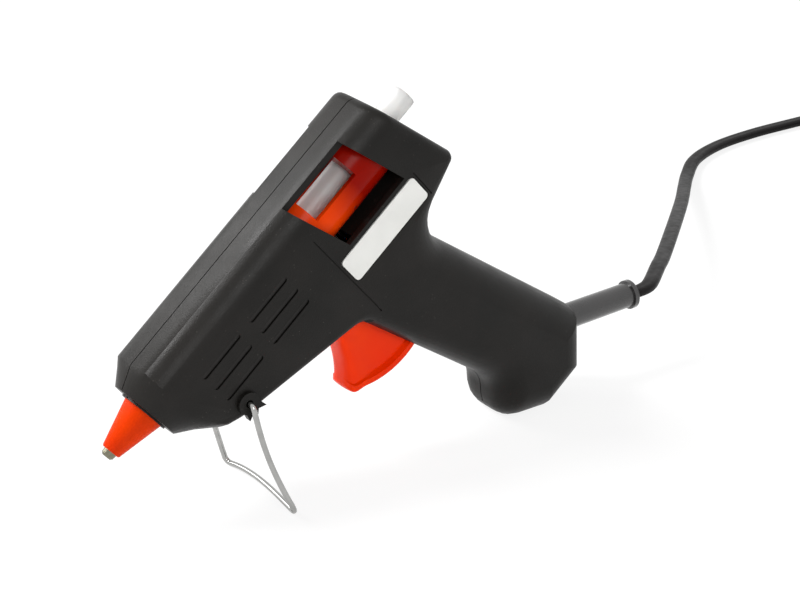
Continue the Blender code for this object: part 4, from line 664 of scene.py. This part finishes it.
def make_lamps():
    for name, where, target, size, watts in LAMPS:
        data = bpy.data.lights.new(name, "AREA")
        data.shape = "DISK"
        data.size = size
        data.energy = watts
        lamp = bpy.data.objects.new(name, data)
        lamp.location = where
        lamp.rotation_euler = (Vector(target) - Vector(where)).to_track_quat("-Z", "Y").to_euler()
        bpy.context.scene.collection.objects.link(lamp)


# Cord


def shifted(x, y, z):
    """A point of the cord's route, in the frame."""
    return Vector((x + CORD_SHIFT_X, y, z))


def coil_route():
    """Three turns inward, a half turn that climbs onto them, three turns outward, and the tail."""
    outer = COIL_INNER + COIL_PITCH * COIL_TURNS
    centre = shifted(COIL_X, CORD_ROUTE[-1][1] + outer, CORD_REST)
    points = []

    def at(turns, radius, height):
        angle = math.radians(-90.0 - 360.0 * turns)
        points.append(centre + Vector((radius * math.cos(angle), radius * math.sin(angle), height)))

    steps = COIL_TURNS * COIL_STEPS
    for k in range(steps + 1):
        at(k / COIL_STEPS, outer - COIL_PITCH * k / COIL_STEPS, 0.0)
    climb = COIL_STEPS // 2
    for k in range(1, climb + 1):
        rise = k / climb
        at(COIL_TURNS + 0.5 * rise, COIL_INNER - COIL_PITCH / 4 * math.sin(math.pi * rise),
           COIL_PITCH * smooth_step(rise))
    for k in range(1, steps + 1):
        at(COIL_TURNS + 0.5 + k / COIL_STEPS, COIL_INNER + COIL_PITCH * k / COIL_STEPS, COIL_PITCH)
    last = points[-1]
    for k in range(1, TAIL_STEPS + 1):
        share = k / TAIL_STEPS
        fall = smooth_step(share / TAIL_FALL_SHARE) * (last.z - TAIL_REST)
        points.append(Vector((last.x + TAIL_LENGTH * share, last.y, last.z - fall)))
    return points


def cord_line():
    """The whole lead's middle line, and how far each point has turned onto its edge."""
    route = [shifted(*p) for p in CORD_ROUTE]
    free = resample(spline_through(route, CORD_ROUTE_STEPS), CORD_STEP)
    coil = resample(spline_through(coil_route(), COIL_SPLINE_STEPS), CORD_STEP)
    start = free[0] + (free[0] - free[1]).normalized() * CORD_INSIDE
    line = [start] + free + coil
    along = lengths_along(line)
    coil_from = along[len(free) + 1]
    tail_from = along[-1] - TAIL_LENGTH
    turned = []
    placed = []
    for point, distance in zip(line, along):
        on_edge = smooth_step((distance - coil_from) / TWIST_LENGTH + 0.5)
        on_edge -= smooth_step((distance - tail_from) / TAIL_LENGTH)
        low = smooth_step((2 * CORD_REST - point.z) / CORD_REST)
        placed.append(point - Vector((0, 0, CORD_SINK * (1 - on_edge) * low)))
        turned.append(math.radians(90.0) * on_edge)
    return placed, turned


def flat_twin_section():
    """Two round cores side by side in one jacket, with a shallow valley between them."""
    section = []
    for k in range(CORD_SIDES):
        angle = 2 * math.pi * k / CORD_SIDES
        across = CORD_WIDTH / 2 * math.cos(angle)
        valley = CORD_VALLEY_DEPTH * math.exp(-(across / (CORD_WIDTH * CORD_VALLEY_WIDTH)) ** 2)
        squared = math.copysign(abs(math.sin(angle)) ** CORD_SQUARENESS, math.sin(angle))
        section.append((across, CORD_THICKNESS / 2 * squared * (1.0 - valley)))
    return section


def make_cord(look):
    line, turned = cord_line()
    piece = sweep("lead", line, flat_twin_section(), lambda i: turned[i], look)
    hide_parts("cord", "cord_coil")
    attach(piece, "housing")


# Finer pieces


def make_stand(look):
    """The bent wire stand. Its left leg is bowed inwards and its foot bar arches back and up."""
    pivot = Vector(JOINTS["stand_fold"]["pos_m"])
    fall = pivot.z - WIRE_RADIUS
    foot_x = pivot.x - fall * math.tan(math.radians(WIRE_LEAN_DEG))
    path = [(pivot.x, WIRE_PIN_END, pivot.z), (pivot.x, WIRE_SHOULDER, pivot.z),
            (foot_x, WIRE_FOOT_SHIFT + WIRE_FOOT, WIRE_RADIUS),
            (foot_x, WIRE_FOOT_SHIFT - WIRE_FOOT, WIRE_RADIUS),
            (pivot.x, -WIRE_SHOULDER, pivot.z), (pivot.x, -WIRE_PIN_END, pivot.z)]
    path = resample(round_corners(path, WIRE_BEND, WIRE_BEND_STEPS), WIRE_STEP)
    for point in path:
        down = min(max((pivot.z - point.z) / fall, 0.0), 1.0)
        if point.y > WIRE_PIN_END:
            bow = WIRE_BOW * math.sin(math.pi * down)
            point.y -= bow
            point.x += bow
        along = (point.y - WIRE_FOOT_SHIFT) / WIRE_FOOT
        if down > WIRE_FOOT_SHARE and abs(along) < 1.0:
            arch = WIRE_ARCH * (1.0 - along * along) * (1.0 - WIRE_ARCH_SKEW * along)
            point.x -= arch
            point.z += arch
    piece = sweep("stand_bow", path, round_section(WIRE_RADIUS, WIRE_SIDES), lambda i: 0.0, look)
    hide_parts("stand_wire")
    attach(piece, "stand")


def vent_blade(front, middle, side):
    """One louvre: flush at the slot's upper edge, sunk and open at its lower edge."""
    length = VENT_LENGTH - 2 * VENT_CLEAR
    width = VENT_WIDTH - VENT_CLEAR - VENT_OPEN
    high = middle + VENT_WIDTH / 2 - VENT_CLEAR
    radius = width / 2
    outline = []
    near = -front - VENT_CLEAR - radius
    far = near + 2 * radius - length
    for x, way in ((near, 1), (far, -1)):
        for k in range(VENT_STEPS + 1):
            angle = math.pi * k / VENT_STEPS
            outline.append((x + way * radius * math.sin(angle),
                            high - radius + way * radius * math.cos(angle)))
    verts = []
    for thickness in (0.0, VENT_THICK):
        for x, z in outline:
            sunk = VENT_FLUSH + VENT_SINK * (high - z) / width + thickness
            verts.append((x, side * (SHELL_HALF - sunk), z))
    return verts, wall_faces(len(outline))


def make_vent_blades(look):
    """Louvres in the twelve vent slots."""
    blades = [vent_blade(front, VENT_MIDDLE - row * VENT_PITCH, side)
              for side in (-1, 1) for front in VENT_FRONTS for row in range(VENT_ROWS)]
    piece = new_mesh("vent_blades", *joined(blades), look, smooth=False)
    face_out(piece)
    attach(piece, "housing")


def trigger_face_curve():
    """The finger face seen from the side, as (radius, angle) pairs about the pivot."""
    top = Vector(TRIGGER_TOP)
    tip = Vector(TRIGGER_TIP)
    middle = (top + tip) / 2 + Vector(TRIGGER_HOLLOW)
    curve = []
    for k in range(TRIGGER_FACE_STEPS + 1):
        t = k / TRIGGER_FACE_STEPS
        p = top * (1 - t) ** 2 + middle * (2 * t * (1 - t)) + tip * t ** 2
        curve.append((p.length, math.atan2(p.y, p.x)))
    return curve


def trigger_half_thickness(inward, below_arc):
    """Half the trigger's thickness: flanks that swell to the face, and a rim at the arc."""
    swell = 1.0 - smooth_step(inward / TRIGGER_SWELL)
    rim = 1.0 - smooth_step((below_arc - TRIGGER_RIM) / TRIGGER_STEP)
    raised = max(TRIGGER_SWELL_SHARE * swell, rim)
    half = TRIGGER_CORE_HALF + (TRIGGER_HALF - TRIGGER_CORE_HALF) * raised
    edge = max(0.0, TRIGGER_EDGE - below_arc)
    return half - TRIGGER_EDGE + math.sqrt(max(0.0, TRIGGER_EDGE ** 2 - edge ** 2))


def trigger_columns():
    """Where the columns of the trigger's skin stand: nose angles, then shares of the flank."""
    nose = [math.radians(90.0 * k / TRIGGER_NOSE_STEPS) for k in range(TRIGGER_NOSE_STEPS + 1)]
    flank = [(k / TRIGGER_FLANK_STEPS) ** TRIGGER_FLANK_POWER
             for k in range(1, TRIGGER_FLANK_STEPS + 1)]
    return nose, flank


def trigger_row(share, curve):
    """One arc of the skin, from the rear over the left flank to the middle of the face."""
    radii = [r for r, _ in curve]
    angles = [a for _, a in curve]
    nose, flank = trigger_columns()
    span = TRIGGER_RADIUS * math.radians(TRIGGER_REAR_DEG - TRIGGER_FRONT_DEG)
    points = []
    for on_nose, value in [(True, a) for a in nose] + [(False, w) for w in flank]:
        if on_nose:
            bulge = math.cos(value) ** TRIGGER_NOSE_POWER
            inward = TRIGGER_NOSE - (TRIGGER_NOSE + TRIGGER_CROWN) * bulge
        else:
            inward = TRIGGER_NOSE + (span - TRIGGER_NOSE) * value
        near_tip = max(0.0, TRIGGER_TIP_ROUND - inward - TRIGGER_CROWN)
        reach = TRIGGER_RADIUS
        reach += TRIGGER_TIP_EXTRA * smooth_step(1.0 - inward / (2 * TRIGGER_TIP_ROUND))
        reach -= TRIGGER_TIP_ROUND - math.sqrt(max(0.0, TRIGGER_TIP_ROUND ** 2 - near_tip ** 2))
        radius = TRIGGER_INNER + (reach - TRIGGER_INNER) * share
        start = float(np.interp(radius, radii, angles))
        if on_nose:
            angle = start - inward / radius
            half = trigger_half_thickness(inward, reach - radius)
            half *= math.sin(value) ** TRIGGER_NOSE_POWER
        else:
            stop = -math.radians(TRIGGER_REAR_DEG)
            first = start - TRIGGER_NOSE / radius
            angle = first + (stop - first) * value
            half = trigger_half_thickness((start - angle) * radius, reach - radius)
        points.append((radius * math.cos(angle), half, radius * math.sin(angle)))
    return list(reversed(points))


def trigger_skin():
    """The closed skin: rows from near the pivot to the arc, then the crowned arc itself."""
    curve = trigger_face_curve()
    shares = [1.0 - (1.0 - k / TRIGGER_ROWS) ** TRIGGER_ROW_POWER for k in range(TRIGGER_ROWS + 1)]
    rows = [trigger_row(share, curve) for share in shares]
    verts = []
    for row in rows:
        verts += row + [(x, -y, z) for x, y, z in reversed(row[:-1])]
    ring = len(verts) // len(rows)
    faces = ring_faces(len(rows), ring)
    faces.append(tuple(range(ring)))
    arc_verts, arc_faces = trigger_arc(rows[-1], len(verts) - ring, ring)
    return verts + arc_verts, faces + arc_faces


def trigger_arc(row, top, ring):
    """The crowned arc over the top ring, in strips from the left rim to the right one."""
    last = len(row) - 1
    verts = []
    faces = []
    strips = [[top + k for k in range(last + 1)]]
    for j in range(1, TRIGGER_ARC_STEPS):
        across = 1.0 - 2.0 * j / TRIGGER_ARC_STEPS
        first = top + ring + len(verts)
        for x, y, z in row[:last]:
            crown = TRIGGER_ARC_CROWN * (1.0 - across * across) * min(1.0, y / TRIGGER_CORE_HALF)
            grow = 1.0 + crown / TRIGGER_RADIUS
            verts.append((x * grow, y * across, z * grow))
        strips.append([first + k for k in range(last)] + [top + last])
    strips.append([top + ring - 1 - k for k in range(last)] + [top + last])
    for one, two in zip(strips, strips[1:]):
        for k in range(last - 1):
            faces.append((one[k], one[k + 1], two[k + 1], two[k]))
        faces.append((one[last - 1], one[last], two[last - 1]))
    return verts, faces


def extruded(outline, low, high):
    """A flat outline of (x, z) points between two levels across."""
    verts = [(x, low, z) for x, z in outline] + [(x, high, z) for x, z in outline]
    return verts, wall_faces(len(outline))


def trigger_fork():
    """Two slotted arms from the pivot up to the push pin, and the boss on the pivot."""
    lean = math.radians(FORK_LEAN_DEG)
    up = Vector((-math.sin(lean), math.cos(lean)))
    side_way = Vector((up.y, -up.x))
    places = [(-FORK_HALF, 0.0), (FORK_HALF, 0.0), (FORK_HALF, FORK_REACH),
              (FORK_SLOT, FORK_REACH), (FORK_SLOT, FORK_FOOT), (-FORK_SLOT, FORK_FOOT),
              (-FORK_SLOT, FORK_REACH), (-FORK_HALF, FORK_REACH)]
    outline = [tuple(side_way * a + up * b) for a, b in places]
    boss = round_section(BOSS_RADIUS, BOSS_SIDES)
    parts = [extruded(boss, -TRIGGER_HALF, TRIGGER_HALF)]
    for side in (-1, 1):
        levels = sorted((side * FORK_INSIDE, side * (FORK_INSIDE + FORK_THICK)))
        parts.append(extruded(outline, *levels))
    return parts


def make_trigger(look):
    """The trigger with its rounded finger face, sunk flanks and raised rim."""
    pivot_x, pivot_y, pivot_z = TRIGGER_PIVOT
    parts = [([(pivot_x + x, pivot_y + y, pivot_z + z) for x, y, z in verts], faces)
             for verts, faces in [trigger_skin()] + trigger_fork()]
    piece = new_mesh("trigger_body", *joined(parts), look)
    face_out(piece)
    piece.data.set_sharp_from_angle(angle=math.radians(SMOOTH_ANGLE_DEG))
    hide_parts("trigger")
    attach(piece, "trigger")


# CAD nodes


def smooth_group():
    """Geometry nodes that weld a node's triangles and shade it smooth below an angle."""
    group = bpy.data.node_groups.new("smooth_by_angle", "GeometryNodeTree")
    group.interface.new_socket("Geometry", in_out="INPUT", socket_type="NodeSocketGeometry")
    group.interface.new_socket("Geometry", in_out="OUTPUT", socket_type="NodeSocketGeometry")
    nodes = group.nodes
    links = group.links
    start = nodes.new("NodeGroupInput")
    weld = nodes.new("GeometryNodeMergeByDistance")
    weld.inputs["Distance"].default_value = WELD
    clean = nodes.new("GeometryNodeRemoveAttribute")
    clean.inputs["Name"].default_value = "custom_normal"
    faces = nodes.new("GeometryNodeSetShadeSmooth")
    edges = nodes.new("GeometryNodeSetShadeSmooth")
    edges.domain = "EDGE"
    angle = nodes.new("GeometryNodeInputMeshEdgeAngle")
    small = nodes.new("FunctionNodeCompare")
    small.operation = "LESS_THAN"
    small.inputs["B"].default_value = math.radians(SMOOTH_ANGLE_DEG)
    end = nodes.new("NodeGroupOutput")
    links.new(start.outputs[0], weld.inputs["Geometry"])
    links.new(weld.outputs["Geometry"], clean.inputs["Geometry"])
    links.new(clean.outputs["Geometry"], faces.inputs["Geometry"])
    links.new(faces.outputs["Geometry"], edges.inputs["Geometry"])
    links.new(angle.outputs["Unsigned Angle"], small.inputs["A"])
    links.new(small.outputs["Result"], edges.inputs["Shade Smooth"])
    links.new(edges.outputs["Geometry"], end.inputs[0])
    return group


def dress(obj, look, group):
    """Give a CAD node its look and smooth shading."""
    obj.data.materials.clear()
    obj.data.materials.append(look)
    obj.modifiers.new("smooth", "NODES").node_group = group


def make_looks():
    return {
        "shell": shell_plastic(),
        "orange": orange_plastic(),
        "steel": metal("steel", shade(172, 172, 170), 0.16),
        "screw": metal("screw_steel", shade(150, 150, 150), 0.34),
        "aluminium": metal("aluminium", shade(176, 174, 170), 0.36),
        "nickel": metal("nickel", shade(128, 125, 108), 0.24, streaks=(1, 4, 4)),
        "brass": metal("plated_brass", shade(205, 186, 140), 0.28),
        "ceramic": plain_matte("ceramic", shade(196, 190, 180), shade(212, 207, 198)),
        "film": plain_matte("film", shade(176, 110, 30), shade(196, 128, 42), 0.35),
        "silicone": plain_matte("grey_silicone", shade(120, 120, 118), shade(136, 136, 134), 0.5),
        "carriage": carriage_plastic_painted_shade(),
        "sleeve": orange_silicone(),
        "glue": glue(),
        "label": label_white(),
        "cord": cord_jacket(),
        "relief": relief_rubber(),
        "plug": plain_matte("plug_plastic", shade(24, 23, 24), shade(32, 31, 31), 0.42),
        "brown": plain_matte("lead_brown", shade(92, 52, 30), shade(108, 64, 38), 0.4),
        "blue": plain_matte("lead_blue", shade(36, 78, 150), shade(46, 92, 166), 0.4),
    }


NODE_LOOKS = {
    # look: the nodes that wear it
    "shell": ("housing_left", "housing_right"),
    "screw": ("housing_screw_1", "housing_screw_2", "housing_screw_3", "housing_screw_4",
              "heater_clip", "clamp_screw_1", "clamp_screw_2"),
    "label": ("label_plate",),
    "sleeve": ("nozzle_sleeve",),
    "nickel": ("nozzle_tip",),
    "aluminium": ("melt_chamber",),
    "ceramic": ("ptc_heater",),
    "brass": ("electrode_upper", "electrode_lower", "live_crimp", "neutral_crimp", "plug_pin_1",
              "plug_pin_2"),
    "film": ("insulating_film",),
    "silicone": ("stick_seal",),
    "glue": ("glue_stick",),
    "carriage": ("feed_carriage",),
    "steel": ("grip_lever", "lever_pin", "push_pin", "trigger_pin", "return_spring", "stand_wire"),
    "orange": ("trigger",),
    "relief": ("strain_relief",),
    "cord": ("inner_cord", "cord", "cord_coil"),
    "plug": ("cord_clamp", "coil_tie", "plug_body"),
    "brown": ("live_core", "live_lead"),
    "blue": ("neutral_core", "neutral_lead"),
}


def dress_nodes(looks):
    group = smooth_group()
    for look, names in NODE_LOOKS.items():
        for name in names:
            dress(frame["nodes"][name], looks[look], group)


def main():
    make_camera()
    looks = make_looks()
    make_cord(looks["cord"])
    make_stand(looks["steel"])
    make_trigger(looks["orange"])
    make_vent_blades(looks["shell"])
    dress_nodes(looks)
    make_floor()
    make_world()
    make_lamps()
    bpy.context.scene.view_settings.view_transform = "Standard"
    bpy.context.view_layer.update()


main()
